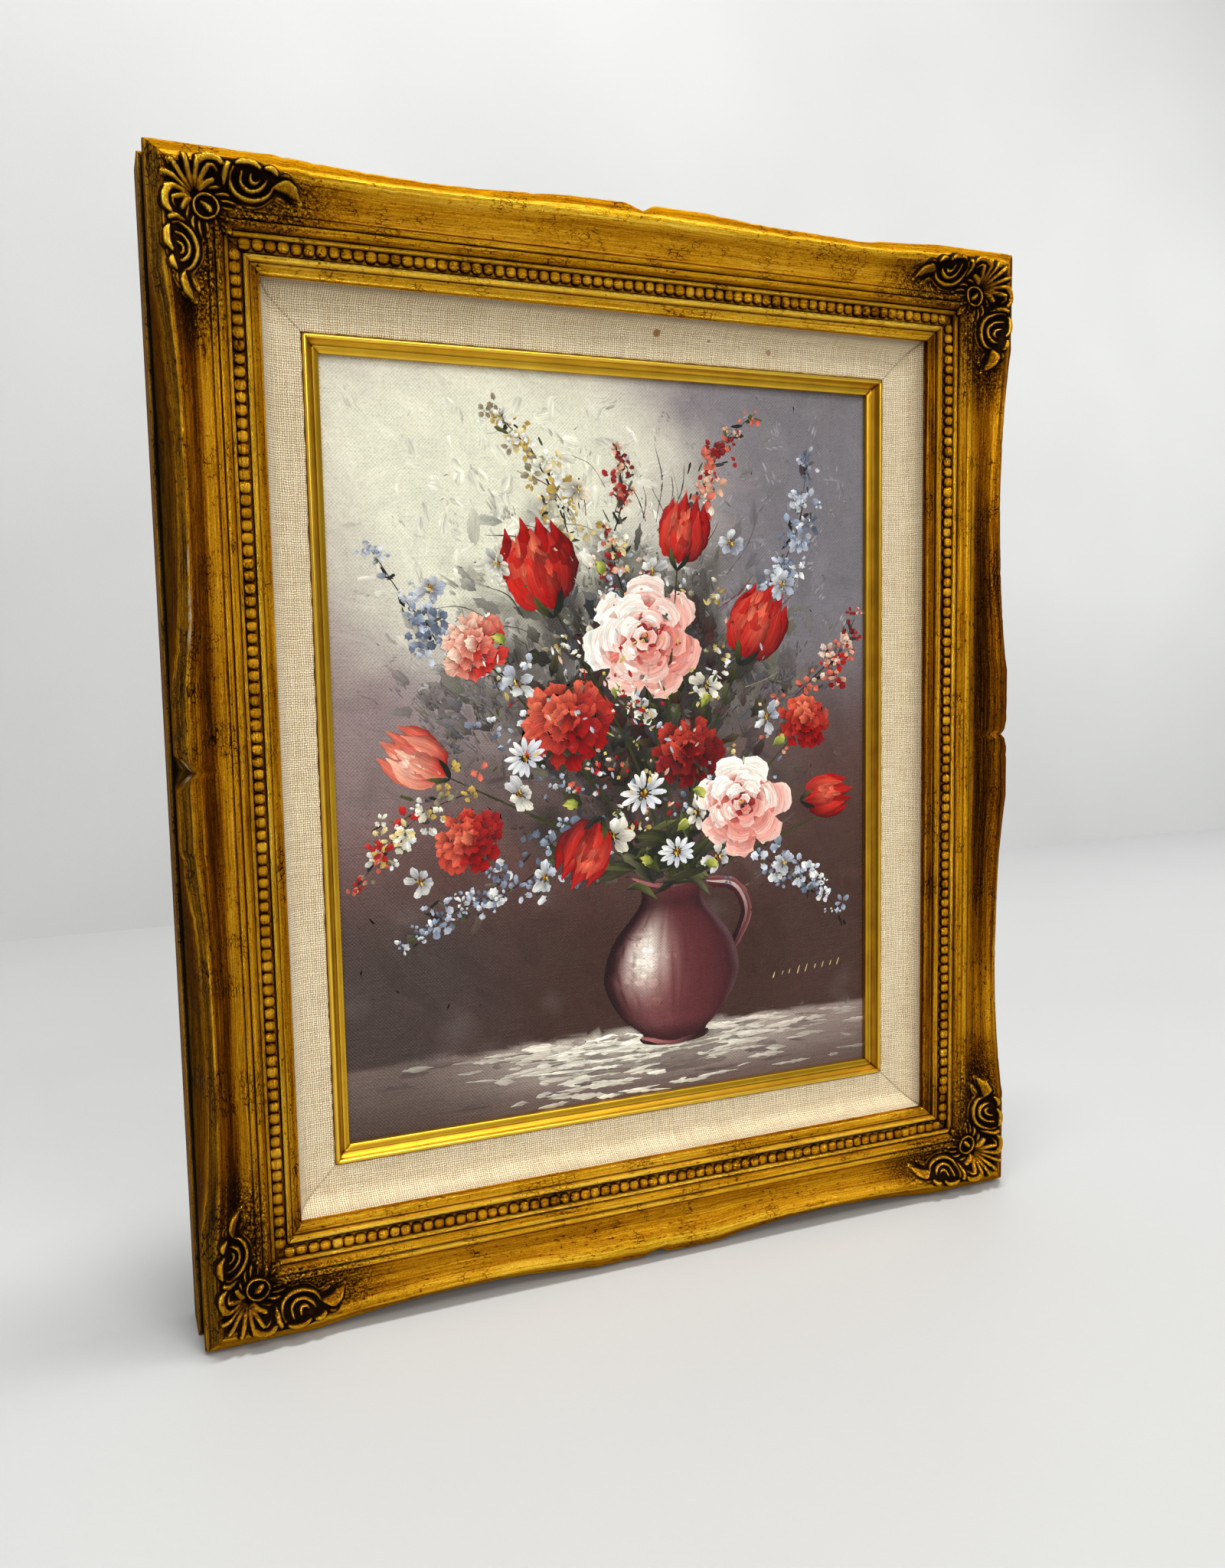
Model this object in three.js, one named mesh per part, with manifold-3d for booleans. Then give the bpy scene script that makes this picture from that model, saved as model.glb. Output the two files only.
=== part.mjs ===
// Framed oil painting: a canvas panel in a gold fillet, a linen liner and a swept, gilded frame.
// Everything is laid out as the picture is seen: x to the right, y up, z towards the viewer,
// with z = 0 on the flat back. The last group stands the picture upright against a wall.
// Units are millimetres.

import * as THREE from 'three';
import { mergeVertices } from 'three/addons/utils/BufferGeometryUtils.js';
import Module from 'manifold-3d';

const wasm = await Module();
wasm.setup();

// ---------------------------------------------------------------- driving dimensions

const SIGHT_WIDTH = 191.4;        // painting seen inside the fillet
const SIGHT_HEIGHT = 241.0;
const PANEL_WIDTH = 203.2;        // the canvas panel, 8 by 10 inches
const PANEL_HEIGHT = 254.0;
const PANEL_BACK = 2.3;           // how far the panel lies in front of the frame's back
const PANEL_THICKNESS = 3.2;
const GAP = 0.3;                  // between neighbouring pieces
const FILLET_WIDTH = 5.0;
const LINER_INNER = FILLET_WIDTH + GAP;
const FRAME_INNER = 17.4;         // from the sight opening to the frame's lip
const MOUNT_ACROSS = 18.3;        // from the lip to the middle of the flat back

const BEAD_COUNT_ACROSS = 68;     // beads along the top and the bottom rail
const BEAD_COUNT_UP = 82;         // beads along each side rail
const BEAD_PITCH = 3.5;
const BEAD_RADIUS = 1.45;
const BEAD_NECK = 0.55;
const BEAD_TALLNESS = 1.25;
const BEAD_SIDES = 6;
const BEAD_ACROSS = 6.9;          // middle of the bead row, from the lip
const BEAD_AXIS_HEIGHT = 21.6;     // on the floor of the bead groove

// Each moulding is drawn as [across, height]: across from its own inner edge, height from the back.

const FILLET_PROFILE = [
  [0, 5.8], [5, 5.8], [5, 9.8], [4.7, 10.5], [4.2, 10.7], [3.7, 10.3], [3.4, 9.5], [3.0, 8.8],
  [2.4, 8.3], [1.8, 8.3], [0.2, 7.8], [0, 7.6],
];

const LINER_PROFILE = [
  [0, 5.8], [1.7, 5.8], [1.7, 2.3], [17.8, 2.3], [17.8, 16.75], [13.7, 16.75], [12.6, 16.5],
  [11.7, 15.2], [10.7, 13.2], [9.3, 11.4], [7.7, 10.6], [3.7, 10.2], [0, 9.9],
];

// The frame's face, from the lip outwards: lip, stepped edge, bead groove, thin reed, wide reed,
// inner ridge, cove and crest.
const FRAME_FACE = [
  [0, 19.2], [0.4, 19.7], [2.8, 20.1], [3.1, 21.3], [3.7, 21.8], [4.6, 21.6], [8.6, 21.6],
  [8.8, 23.4], [9.3, 23.8], [9.8, 23.3], [10.2, 24.9], [10.9, 25.8], [11.8, 25.6], [12.4, 24.7],
  [13.6, 26.1], [14.3, 25.7], [15.6, 25.1], [17.4, 25.1], [19.1, 25.9], [20.8, 27.5],
  [22.2, 29.6], [23.2, 30.7], [24.6, 31.0],
];
const LEDGE_HEIGHT = 17.1;        // underside of the lip, over the liner
const RABBET_WIDTH = 6.0;
const FRAME_WIDTH = 30.6;         // lip to the outside of the rear rim
const RIM_EDGE = 30.2;            // outside of the blank before its edge is swept
const RIM_TOP = 15.4;             // where the swept edge lands on the rear rim

// The swept edge: a bevel from the crest to the corner, then a side down to the rear rim.
const CREST_END = [25.5, 31.0];
const EDGE_CORNER = [29.8, 27.5];
const EDGE_FOOT = [29.2, RIM_TOP];
const CREST_SHARE = 0.62;         // how much of the sweep the crest line follows
const BULGE_END = 23;             // half length of the straight bulge at a rail's centre
const STRAIGHT_CORNER = 34.4;     // straight edge between the frame's corner and the sweep
const SWEEP_STATIONS = [0, 0.05, 0.15, 0.3, 0.5, 0.7, 0.85, 0.95, 1];
const SWEEP_TOP = 2.0;            // how far each rail's edge is drawn in
const SWEEP_RIGHT = 4.6;
const SWEEP_BOTTOM = 3.3;
const SWEEP_LEFT = 4.2;
const NOTCH_WIDTH = 9.5;          // the notch at the middle of each rail's edge
const NOTCH_DEPTH = 3;
const CHIP_ALONG = 80;            // a splinter lost from the top rail's edge
const CHIP_LENGTH = 15;

// ---------------------------------------------------------------- materials

const antiqueGold = new THREE.MeshStandardMaterial({ color: 0xa9741c, roughness: 0.4, metalness: 0.7 });
const castGold = new THREE.MeshStandardMaterial({ color: 0x8a6426, roughness: 0.4, metalness: 0.7 });
const filletGold = new THREE.MeshStandardMaterial({ color: 0xb98a2c, roughness: 0.35, metalness: 0.7 });
const linen = new THREE.MeshStandardMaterial({ color: 0xcdbd9c, roughness: 0.95, metalness: 0 });
const paintedCanvas = new THREE.MeshStandardMaterial({ color: 0x6d6468, roughness: 0.6, metalness: 0 });

// ---------------------------------------------------------------- solids

function solidOf(geometry) {
  const plain = geometry.index ? geometry.toNonIndexed() : geometry.clone();
  plain.deleteAttribute('normal');
  plain.deleteAttribute('uv');
  const merged = mergeVertices(plain, 1e-4);
  return new wasm.Manifold(new wasm.Mesh({
    numProp: 3,
    vertProperties: new Float32Array(merged.attributes.position.array),
    triVerts: new Uint32Array(merged.index.array),
  }));
}

function geometryOf(solid) {
  const mesh = solid.getMesh();
  const geometry = new THREE.BufferGeometry();
  geometry.setAttribute('position', new THREE.BufferAttribute(mesh.vertProperties, 3));
  geometry.setIndex(new THREE.BufferAttribute(mesh.triVerts, 1));
  geometry.computeVertexNormals();
  return geometry;
}

// A closed skin through sections that all have the same number of points.
function loft(sections, flatShape) {
  const count = flatShape.length;
  const positions = sections.flat().flatMap((point) => [point.x, point.y, point.z]);
  const faces = [];
  for (let row = 0; row < sections.length - 1; row += 1) {
    for (let column = 0; column < count; column += 1) {
      const next = (column + 1) % count;
      const here = row * count;
      const beyond = here + count;
      faces.push(here + column, here + next, beyond + next);
      faces.push(here + column, beyond + next, beyond + column);
    }
  }
  const last = (sections.length - 1) * count;
  for (const [a, b, c] of THREE.ShapeUtils.triangulateShape(flatShape, [])) {
    faces.push(c, b, a);
    faces.push(last + a, last + b, last + c);
  }
  const geometry = new THREE.BufferGeometry();
  geometry.setAttribute('position', new THREE.Float32BufferAttribute(positions, 3));
  geometry.setIndex(faces);
  return geometry;
}

// A moulding profile as an anticlockwise outline, so that a loft along x faces outwards.
function outlineOf(profile) {
  const points = profile.map(([across, height]) => new THREE.Vector2(across, height));
  return THREE.ShapeUtils.isClockWise(points) ? points.reverse() : points;
}

// A straight length of moulding along x, mitred at both ends, at `inner` from the picture's centre.
function mitredLength(profile, inner, halfRun) {
  const outline = outlineOf(profile);
  const mitreSetback = GAP / Math.SQRT2;
  const end = (side) => outline.map((point) => new THREE.Vector3(
    side * (halfRun + point.x - mitreSetback), inner + point.x, point.y,
  ));
  return loft([end(-1), end(1)], outline);
}

// ---------------------------------------------------------------- the frame's rails

// How far the edge is drawn in at `along` from a rail's centre.
function sweepAt(along, depth, lipHalf) {
  const end = lipHalf + FRAME_WIDTH - STRAIGHT_CORNER;
  const share = (Math.abs(along) - BULGE_END) / (end - BULGE_END);
  if (share <= 0 || share >= 1) {
    return 0;
  }
  return depth * Math.sin(Math.PI * share) ** 0.8;
}

function sweepCutter(inner, lipHalf, depth) {
  const end = lipHalf + FRAME_WIDTH - STRAIGHT_CORNER;
  const oneSide = SWEEP_STATIONS.map((share) => BULGE_END + share * (end - BULGE_END));
  oneSide.push(lipHalf + FRAME_WIDTH + 5);
  const stations = [...oneSide.map((along) => -along).reverse(), ...oneSide];
  const rise = 0.8;
  const sectionAt = (along) => {
    const draw = sweepAt(along, depth, lipHalf);
    const crest = [CREST_END[0] - CREST_SHARE * draw, CREST_END[1]];
    const corner = [EDGE_CORNER[0] - draw, EDGE_CORNER[1]];
    const above = crest.map((value, axis) => value + rise * (value - corner[axis]));
    const outside = FRAME_WIDTH + 4;
    const roof = 42;
    return [above, corner, EDGE_FOOT, [outside, RIM_TOP], [outside, roof], [above[0], roof]];
  };
  const flat = sectionAt(0).map(([across, height]) => new THREE.Vector2(across, height));
  const sections = stations.map((along) => sectionAt(along).map(
    ([across, height]) => new THREE.Vector3(along, inner + across, height),
  ));
  return solidOf(loft(sections, flat));
}

function notchCutter(inner) {
  const edge = inner + EDGE_CORNER[0];
  const shape = new THREE.Shape([
    new THREE.Vector2(-NOTCH_WIDTH, edge + NOTCH_DEPTH),
    new THREE.Vector2(0, edge - NOTCH_DEPTH),
    new THREE.Vector2(NOTCH_WIDTH, edge + NOTCH_DEPTH),
  ]);
  const geometry = new THREE.ExtrudeGeometry(shape, { depth: 30, bevelEnabled: false });
  geometry.translate(0, 0, RIM_TOP + 2);
  return solidOf(geometry);
}

function beadRow(inner, count) {
  const points = [new THREE.Vector2(0, 0)];
  for (let bead = 0; bead < count; bead += 1) {
    points.push(new THREE.Vector2(BEAD_NECK, bead * BEAD_PITCH));
    points.push(new THREE.Vector2(BEAD_RADIUS, (bead + 0.5) * BEAD_PITCH));
  }
  points.push(new THREE.Vector2(BEAD_NECK, count * BEAD_PITCH));
  points.push(new THREE.Vector2(0, count * BEAD_PITCH));
  const row = new THREE.LatheGeometry(points, BEAD_SIDES);
  row.rotateY(Math.PI / 2);
  row.rotateZ(-Math.PI / 2);
  row.scale(1, 1, BEAD_TALLNESS);
  row.translate(-count * BEAD_PITCH / 2, inner + BEAD_ACROSS, BEAD_AXIS_HEIGHT);
  return solidOf(row);
}

function edgeChip(inner) {
  const chip = new THREE.BoxGeometry(CHIP_LENGTH, 4, 6);
  chip.rotateZ(0.07);
  chip.translate(CHIP_ALONG, inner + EDGE_CORNER[0] - 0.2, EDGE_CORNER[1] + 1.4);
  return solidOf(chip);
}

function frameRail(half, otherHalf, beadCount, sweepDepth) {
  const inner = otherHalf + FRAME_INNER;
  const lipHalf = half + FRAME_INNER;
  const profile = [
    [0, LEDGE_HEIGHT], ...FRAME_FACE, [RIM_EDGE, CREST_END[1]], [RIM_EDGE, RIM_TOP],
    [FRAME_WIDTH, RIM_TOP - 0.6], [FRAME_WIDTH, 0], [RABBET_WIDTH, 0], [RABBET_WIDTH, LEDGE_HEIGHT],
  ];
  return solidOf(mitredLength(profile, inner, lipHalf))
    .add(beadRow(inner, beadCount))
    .subtract(sweepCutter(inner, lipHalf, sweepDepth))
    .subtract(notchCutter(inner));
}

// ---------------------------------------------------------------- the cast corner ornaments

// Places on a corner are [p, q]: p and q run inwards from just outside the frame's two edges.
const CORNER_REACH = FRAME_WIDTH + 1.5;

// The bed that the casting is pressed on, cove, crest and bevel in a few flats, and the ground of
// the casting over it, which is thickest in the cove.
const BED = [[12.4, 26.7], [17.4, 25.5], [23.2, 31.1], [25.5, 31.4], [29.8, 27.9]];
const GROUND = [[12.4, 27.4], [17.4, 26.6], [23.2, 31.6], [25.5, 31.8], [29.8, 28.3]];

function place(p, q) {
  return new THREE.Vector2(CORNER_REACH - p, CORNER_REACH - q);
}

// Height of the casting's ground at [x, y] from the lip's corner.
function groundHeight(x, y) {
  const across = Math.max(x, y);
  const next = Math.max(1, GROUND.findIndex(([edge]) => edge >= across));
  const [before, low] = GROUND[next - 1];
  const [after, high] = GROUND[next];
  return low + (high - low) * (across - before) / (after - before);
}

// A mitred corner of moulding as one solid, with the given face.
function mitredCorner(face) {
  const reach = 50;
  const bottom = 10;
  const profile = [[face[0][0], bottom], ...face, [face[face.length - 1][0], bottom]];
  const outline = outlineOf(profile);
  const far = outline.map((point) => new THREE.Vector3(-reach, point.x, point.y));
  const mitre = outline.map((point) => new THREE.Vector3(point.x, point.x, point.y));
  const topArm = solidOf(loft([far, mitre], outline));
  return topArm.add(topArm.mirror([1, -1, 0]));
}

// A carved ridge along a line of places: a three-cornered section that thins at its ends.
function ridge(line, width, relief, steps, endShare = 0.35) {
  const sections = [];
  for (let step = 0; step <= steps; step += 1) {
    const share = step / steps;
    const middle = line.getPoint(share);
    const tangent = line.getTangent(share);
    const fullness = endShare + (1 - endShare) * Math.sin(Math.PI * share) ** 0.6;
    const side = new THREE.Vector2(-tangent.y, tangent.x).multiplyScalar(width * fullness / 2);
    const feet = [middle.clone().sub(side), middle.clone().add(side)];
    const base = Math.min(...[middle, ...feet].map(({ x, y }) => groundHeight(x, y))) - 0.5;
    const top = groundHeight(middle.x, middle.y) + relief * (0.4 + 0.6 * fullness);
    sections.push([
      ...feet.map(({ x, y }) => new THREE.Vector3(x, y, base)),
      new THREE.Vector3(middle.x, middle.y, top),
    ]);
  }
  const flat = [new THREE.Vector2(-1, 0), new THREE.Vector2(1, 0), new THREE.Vector2(0, 1)];
  return solidOf(loft(sections, flat));
}

function arc(p, q, radius, startDegrees, endDegrees) {
  const centre = place(p, q);
  const start = THREE.MathUtils.degToRad(startDegrees);
  const end = THREE.MathUtils.degToRad(endDegrees);
  return new THREE.EllipseCurve(centre.x, centre.y, radius, radius, start, end, end < start);
}

function straight(p1, q1, p2, q2) {
  return new THREE.LineCurve(place(p1, q1), place(p2, q2));
}

function bent(p1, q1, p2, q2, p3, q3) {
  return new THREE.QuadraticBezierCurve(place(p1, q1), place(p2, q2), place(p3, q3));
}

function knob(p, q, radius, relief) {
  const middle = place(p, q);
  const ball = new THREE.SphereGeometry(radius, 5, 2);
  ball.rotateX(Math.PI / 2);
  ball.scale(1, 1, relief / radius);
  ball.translate(middle.x, middle.y, groundHeight(middle.x, middle.y));
  return solidOf(ball);
}

function ornamentSolid() {
  const oneArm = [
    [6.8, 6.8], [15.4, 8.2], [19.6, 6.4], [24, 8], [29, 6.6], [36, 7], [42, 9.2],
    [43.8, 12.8], [37.2, 12.4], [33.4, 15.2], [26, 15.4], [23.6, 18],
  ];
  const outline = [...oneArm, [19.6, 19.6], ...oneArm.slice(1).reverse().map(([p, q]) => [q, p])];
  const shape = new THREE.Shape(outline.map(([p, q]) => place(p, q)));
  const slab = new THREE.ExtrudeGeometry(shape, { depth: 26, bevelEnabled: false });
  slab.translate(0, 0, 12);
  let solid = solidOf(slab).intersect(mitredCorner(GROUND));

  // A fan of five fingers spreads from behind the rosette to the frame's corner.
  const fanRoot = 14;
  for (let finger = -2; finger <= 2; finger += 1) {
    const angle = Math.PI / 4 + finger * 0.42;
    const length = 7.8 - 0.3 * Math.abs(finger);
    const p = fanRoot - length * Math.cos(angle);
    const q = fanRoot - length * Math.sin(angle);
    solid = solid.add(ridge(straight(fanRoot, fanRoot, p, q), 4.4, 2.0, 2, 0.7));
  }
  // The rosette: a raised ring round a bud.
  solid = solid.add(ridge(arc(16.9, 16.9, 3.5, 20, 375), 3.0, 1.9, 5, 0.8));
  solid = solid.add(knob(16.9, 16.9, 1.4, 1.9));

  for (const swap of [false, true]) {
    const arm = (piece) => (swap ? piece.mirror([1, -1, 0]) : piece);
    // A scroll opens outwards, round a bead.
    solid = solid.add(arm(ridge(arc(30, 10.6, 4.5, 30, -200), 3.8, 2.2, 5)));
    solid = solid.add(arm(knob(30.3, 10.2, 1.6, 1.9)));
    // A hooded curl joins the fan to the scroll.
    solid = solid.add(arm(ridge(arc(19.8, 10.6, 2.7, -150, 60), 3.8, 2.1, 3)));
    // A bead and a pointed leaf finish the arm.
    solid = solid.add(arm(knob(36.4, 10, 1.5, 1.9)));
    solid = solid.add(arm(ridge(bent(38, 8.9, 41.4, 9.6, 43.2, 12.6), 4.8, 1.7, 2, 0.2)));
  }
  return solid.subtract(mitredCorner(BED));
}

// ---------------------------------------------------------------- assembly

const painting = new THREE.Group();

function addPiece(name, geometry, material, angle = 0, x = 0, y = 0) {
  const mesh = new THREE.Mesh(geometry, material);
  mesh.name = name;
  mesh.rotation.z = angle;
  mesh.position.set(x, y, 0);
  painting.add(mesh);
}

const halfWidth = SIGHT_WIDTH / 2;
const halfHeight = SIGHT_HEIGHT / 2;
const sides = [
  { side: 'top', angle: 0, half: halfWidth, other: halfHeight, sweep: SWEEP_TOP },
  { side: 'right', angle: -Math.PI / 2, half: halfHeight, other: halfWidth, sweep: SWEEP_RIGHT },
  { side: 'bottom', angle: Math.PI, half: halfWidth, other: halfHeight, sweep: SWEEP_BOTTOM },
  { side: 'left', angle: Math.PI / 2, half: halfHeight, other: halfWidth, sweep: SWEEP_LEFT },
];

for (const { side, angle, half, other, sweep } of sides) {
  const beads = half === halfWidth ? BEAD_COUNT_ACROSS : BEAD_COUNT_UP;
  let rail = frameRail(half, other, beads, sweep);
  if (side === 'top') {
    rail = rail.subtract(edgeChip(other + FRAME_INNER));
  }
  addPiece(`frame_rail_${side}`, geometryOf(rail), antiqueGold, angle);
}

for (const { side, angle, half, other } of sides) {
  const liner = mitredLength(LINER_PROFILE, other + LINER_INNER, half + LINER_INNER);
  addPiece(`linen_liner_${side}`, geometryOf(solidOf(liner)), linen, angle);
  const fillet = mitredLength(FILLET_PROFILE, other, half);
  addPiece(`gold_fillet_${side}`, geometryOf(solidOf(fillet)), filletGold, angle);
}

const ornament = geometryOf(ornamentSolid());
const corners = [
  ['top_right', 0, 1, 1], ['top_left', Math.PI / 2, -1, 1],
  ['bottom_left', Math.PI, -1, -1], ['bottom_right', -Math.PI / 2, 1, -1],
];
for (const [corner, angle, right, up] of corners) {
  const x = right * (halfWidth + FRAME_INNER);
  const y = up * (halfHeight + FRAME_INNER);
  addPiece(`corner_ornament_${corner}`, ornament.clone(), castGold, angle, x, y);
}

const panel = new THREE.BoxGeometry(PANEL_WIDTH, PANEL_HEIGHT, PANEL_THICKNESS);
panel.translate(0, 0, PANEL_BACK + PANEL_THICKNESS / 2);
addPiece('canvas_panel', panel, paintedCanvas);

// Stand the picture up: its face looks along -Y, and the origin is on the flat back of the top
// rail, at its middle.
painting.rotation.x = Math.PI / 2;
painting.position.z = -(halfHeight + FRAME_INNER + MOUNT_ACROSS);

const part = new THREE.Group();
part.add(painting);

export default part;
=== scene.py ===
"""A framed floral oil painting: gilded swept frame, cast corners, linen liner, gold fillet, oil paint.

Shapes are laid out in millimetres as the picture is seen: x to the right, y up from its middle and
h towards the viewer from the frame's flat back. place() turns that into the row frame, in metres.
"""

import math

import bpy
import numpy as np
from mathutils import Matrix, Vector


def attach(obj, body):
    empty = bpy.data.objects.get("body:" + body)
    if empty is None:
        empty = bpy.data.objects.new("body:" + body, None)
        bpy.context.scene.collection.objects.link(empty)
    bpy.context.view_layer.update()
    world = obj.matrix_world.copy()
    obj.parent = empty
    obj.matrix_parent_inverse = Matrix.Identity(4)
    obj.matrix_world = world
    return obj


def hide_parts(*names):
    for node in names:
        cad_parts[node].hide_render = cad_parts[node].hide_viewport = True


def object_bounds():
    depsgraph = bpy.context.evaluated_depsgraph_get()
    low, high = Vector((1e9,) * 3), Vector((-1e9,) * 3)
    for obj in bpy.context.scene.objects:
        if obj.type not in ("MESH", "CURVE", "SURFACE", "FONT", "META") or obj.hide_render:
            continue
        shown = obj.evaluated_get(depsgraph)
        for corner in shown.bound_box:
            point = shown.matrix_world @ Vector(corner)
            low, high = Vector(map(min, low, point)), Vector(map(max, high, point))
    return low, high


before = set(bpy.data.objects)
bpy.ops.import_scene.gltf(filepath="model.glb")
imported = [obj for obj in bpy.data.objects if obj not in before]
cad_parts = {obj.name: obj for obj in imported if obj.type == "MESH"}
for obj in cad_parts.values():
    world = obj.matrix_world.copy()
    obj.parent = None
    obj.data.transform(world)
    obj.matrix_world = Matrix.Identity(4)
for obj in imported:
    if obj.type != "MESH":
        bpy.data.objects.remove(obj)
cad_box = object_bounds()

# ------------------------------------------------------------------ sizes, in millimetres

SIGHT_W, SIGHT_H = 191.4, 241.0
PANEL_W, PANEL_H, PANEL_BACK, PANEL_T = 203.2, 254.0, 2.3, 3.2
FRAME_INNER, FRAME_WIDTH, MOUNT_ACROSS = 17.4, 30.6, 18.3
LINER_INNER = 5.3
CENTRE_Z = -(SIGHT_H / 2 + FRAME_INNER + MOUNT_ACROSS)
CREST_END, EDGE_CORNER, EDGE_FOOT = (25.5, 31.0), (29.8, 27.5), (29.2, 15.4)
CREST_SHARE, BULGE_END, STRAIGHT_CORNER = 0.62, 23.0, 34.4
NOTCH_HALF, NOTCH_DEPTH, SIDE_NOTCH_DEPTH = 4.75, 3.0, 4.4
BEAD_PITCH, BEAD_ACROSS, BEAD_AXIS = 3.5, 6.9, 21.6
CORNER_REACH = FRAME_WIDTH + 1.5
HW, HH = SIGHT_W / 2, SIGHT_H / 2

SIDES = {
    "top": dict(turn=0.0, half=HW, other=HH, sweep=2.0, beads=68, seed=11),
    "right": dict(turn=-90.0, half=HH, other=HW, sweep=4.6, beads=82, seed=23),
    "bottom": dict(turn=180.0, half=HW, other=HH, sweep=3.3, beads=68, seed=37),
    "left": dict(turn=90.0, half=HH, other=HW, sweep=4.2, beads=82, seed=41),
}


def place(x, y, h):
    """Picture millimetres to row-frame metres, as an (n, 3) array."""
    return np.stack([x, -np.asarray(h), np.asarray(y) + CENTRE_Z], -1).reshape(-1, 3) * 0.001


def turned(along, out, degrees):
    a = math.radians(degrees)
    return along * math.cos(a) - out * math.sin(a), along * math.sin(a) + out * math.cos(a)


# ------------------------------------------------------------------ seeded noise and curves

def smooth(low, high, x):
    t = np.clip((np.asarray(x, float) - low) / (high - low), 0, 1)
    return t * t * (3 - 2 * t)


def split(x, step, offset):
    """Which cell of width `step` each x lies in, and how far through it, eased."""
    t = np.asarray(x, float) / step + offset
    i = np.floor(t).astype(int)
    return i, smooth(0, 1, t - i)


def wobble(x, seed, step):
    """Smooth noise along a line, -1 to 1, with a new value every `step`."""
    knots = np.random.default_rng(seed).uniform(-1, 1, 2048)
    i, f = split(x, step, 1000)
    return knots[i % 2048] * (1 - f) + knots[(i + 1) % 2048] * f


def mottle(x, y, seed, step):
    """Smooth noise over a plane, -1 to 1."""
    table = np.random.default_rng(seed).uniform(-1, 1, (256, 256))
    (i, f), (j, g) = split(x, step, 500.3), split(y, step, 500.7)

    def row(k):
        return table[i % 256, k % 256] * (1 - f) + table[(i + 1) % 256, k % 256] * f
    return row(j) * (1 - g) + row(j + 1) * g


def layered(x, y, seed, step, layers=3):
    return sum(mottle(x, y, seed + k, step / 2 ** k) / 2 ** k for k in range(layers)) / 1.6


def bow(a0, h0, a1, h1, rise, count):
    """Points of a reed: a bulge of `rise` over the chord between two ends."""
    t = np.linspace(0, 1, count)
    lift = rise * np.sqrt(np.clip(1 - (2 * t - 1) ** 2, 0, 1))
    return [(a0 + (a1 - a0) * k, h0 + (h1 - h0) * k + l) for k, l in zip(t, lift)]


def through(points, count):
    """A smooth curve (Catmull-Rom) through points, sampled evenly."""
    p = np.array(points, float)
    p = np.vstack([2 * p[0] - p[1], p, 2 * p[-1] - p[-2]])
    spans = len(points) - 1
    t = np.linspace(0, spans, count)
    i = np.minimum(t.astype(int), spans - 1)
    f = (t - i)[:, None]
    a, b, c, d = p[i], p[i + 1], p[i + 2], p[i + 3]
    return 0.5 * (2 * b + (c - a) * f + (2 * a - 5 * b + 4 * c - d) * f ** 2
                  + (3 * b - a - 3 * c + d) * f ** 3)


def neighbours(array):
    """The array's values one step down, up, right and left."""
    edge = np.pad(array, 1, mode="edge")
    return edge[2:, 1:-1], edge[:-2, 1:-1], edge[1:-1, 2:], edge[1:-1, :-2]


def eased(array, passes):
    for _ in range(passes):
        down, up, right, left = neighbours(array)
        array = (2 * array + down + up + right + left) / 6
    return array


def between(grid, i, j):
    """The points a share i down and j across each cell of a grid."""
    upper = grid[:-1, :-1] * (1 - j) + grid[:-1, 1:] * j
    return upper * (1 - i) + (grid[1:, :-1] * (1 - j) + grid[1:, 1:] * j) * i


# ------------------------------------------------------------------ meshes

def mesh_piece(name, points, faces, values, vectors, colours=None):
    """A mesh object from arrays: points (n, 3) in metres, faces a list of index arrays."""
    mesh = bpy.data.meshes.new(name)
    loops = np.concatenate([f.ravel() for f in faces]).astype(np.int32)
    sizes = np.concatenate([np.full(len(f), f.shape[1]) for f in faces]).astype(np.int32)
    starts = np.concatenate([[0], np.cumsum(sizes)[:-1]]).astype(np.int32)
    mesh.vertices.add(len(points))
    mesh.vertices.foreach_set("co", points.astype(np.float32).ravel())
    mesh.loops.add(len(loops))
    mesh.loops.foreach_set("vertex_index", loops)
    mesh.polygons.add(len(sizes))
    mesh.polygons.foreach_set("loop_start", starts)
    mesh.polygons.foreach_set("loop_total", sizes)
    mesh.update(calc_edges=True)
    mesh.validate()
    mesh.polygons.foreach_set("use_smooth", np.ones(len(mesh.polygons), bool))
    colours = {k: np.column_stack([v, np.ones(len(v))]) for k, v in (colours or {}).items()}
    for group, kind, field in ((values, "FLOAT", "value"), (vectors, "FLOAT_VECTOR", "vector"),
                               (colours, "FLOAT_COLOR", "color")):
        for key, value in group.items():
            layer = mesh.attributes.new(key, kind, "POINT")
            layer.data.foreach_set(field, np.asarray(value, np.float32).ravel())
    piece = bpy.data.objects.new(name, mesh)
    bpy.context.scene.collection.objects.link(piece)
    return piece


def grid_quads(rows, columns, first=0, ring=False):
    """Quads of a grid of points, row by row; ring joins the last column to the first."""
    r = np.arange(rows - 1)[:, None]
    c = np.arange(columns if ring else columns - 1)[None, :]
    a, b = r * columns + c, r * columns + (c + 1) % columns
    return np.stack([a, b, b + columns, a + columns], -1).reshape(-1, 4) + first


def border(rows, columns):
    """The points round the edge of such a grid, in order."""
    return np.concatenate([np.arange(columns), np.arange(2, rows) * columns - 1,
                           rows * columns - 1 - np.arange(columns), np.arange(rows - 2, 0, -1) * columns])


def tube(rows, columns):
    """Faces of a closed bar whose section runs clockwise as seen along it."""
    low = np.arange(columns)[None, :]
    return [grid_quads(rows, columns, ring=True)[:, ::-1], low, (low + (rows - 1) * columns)[:, ::-1]]


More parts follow.
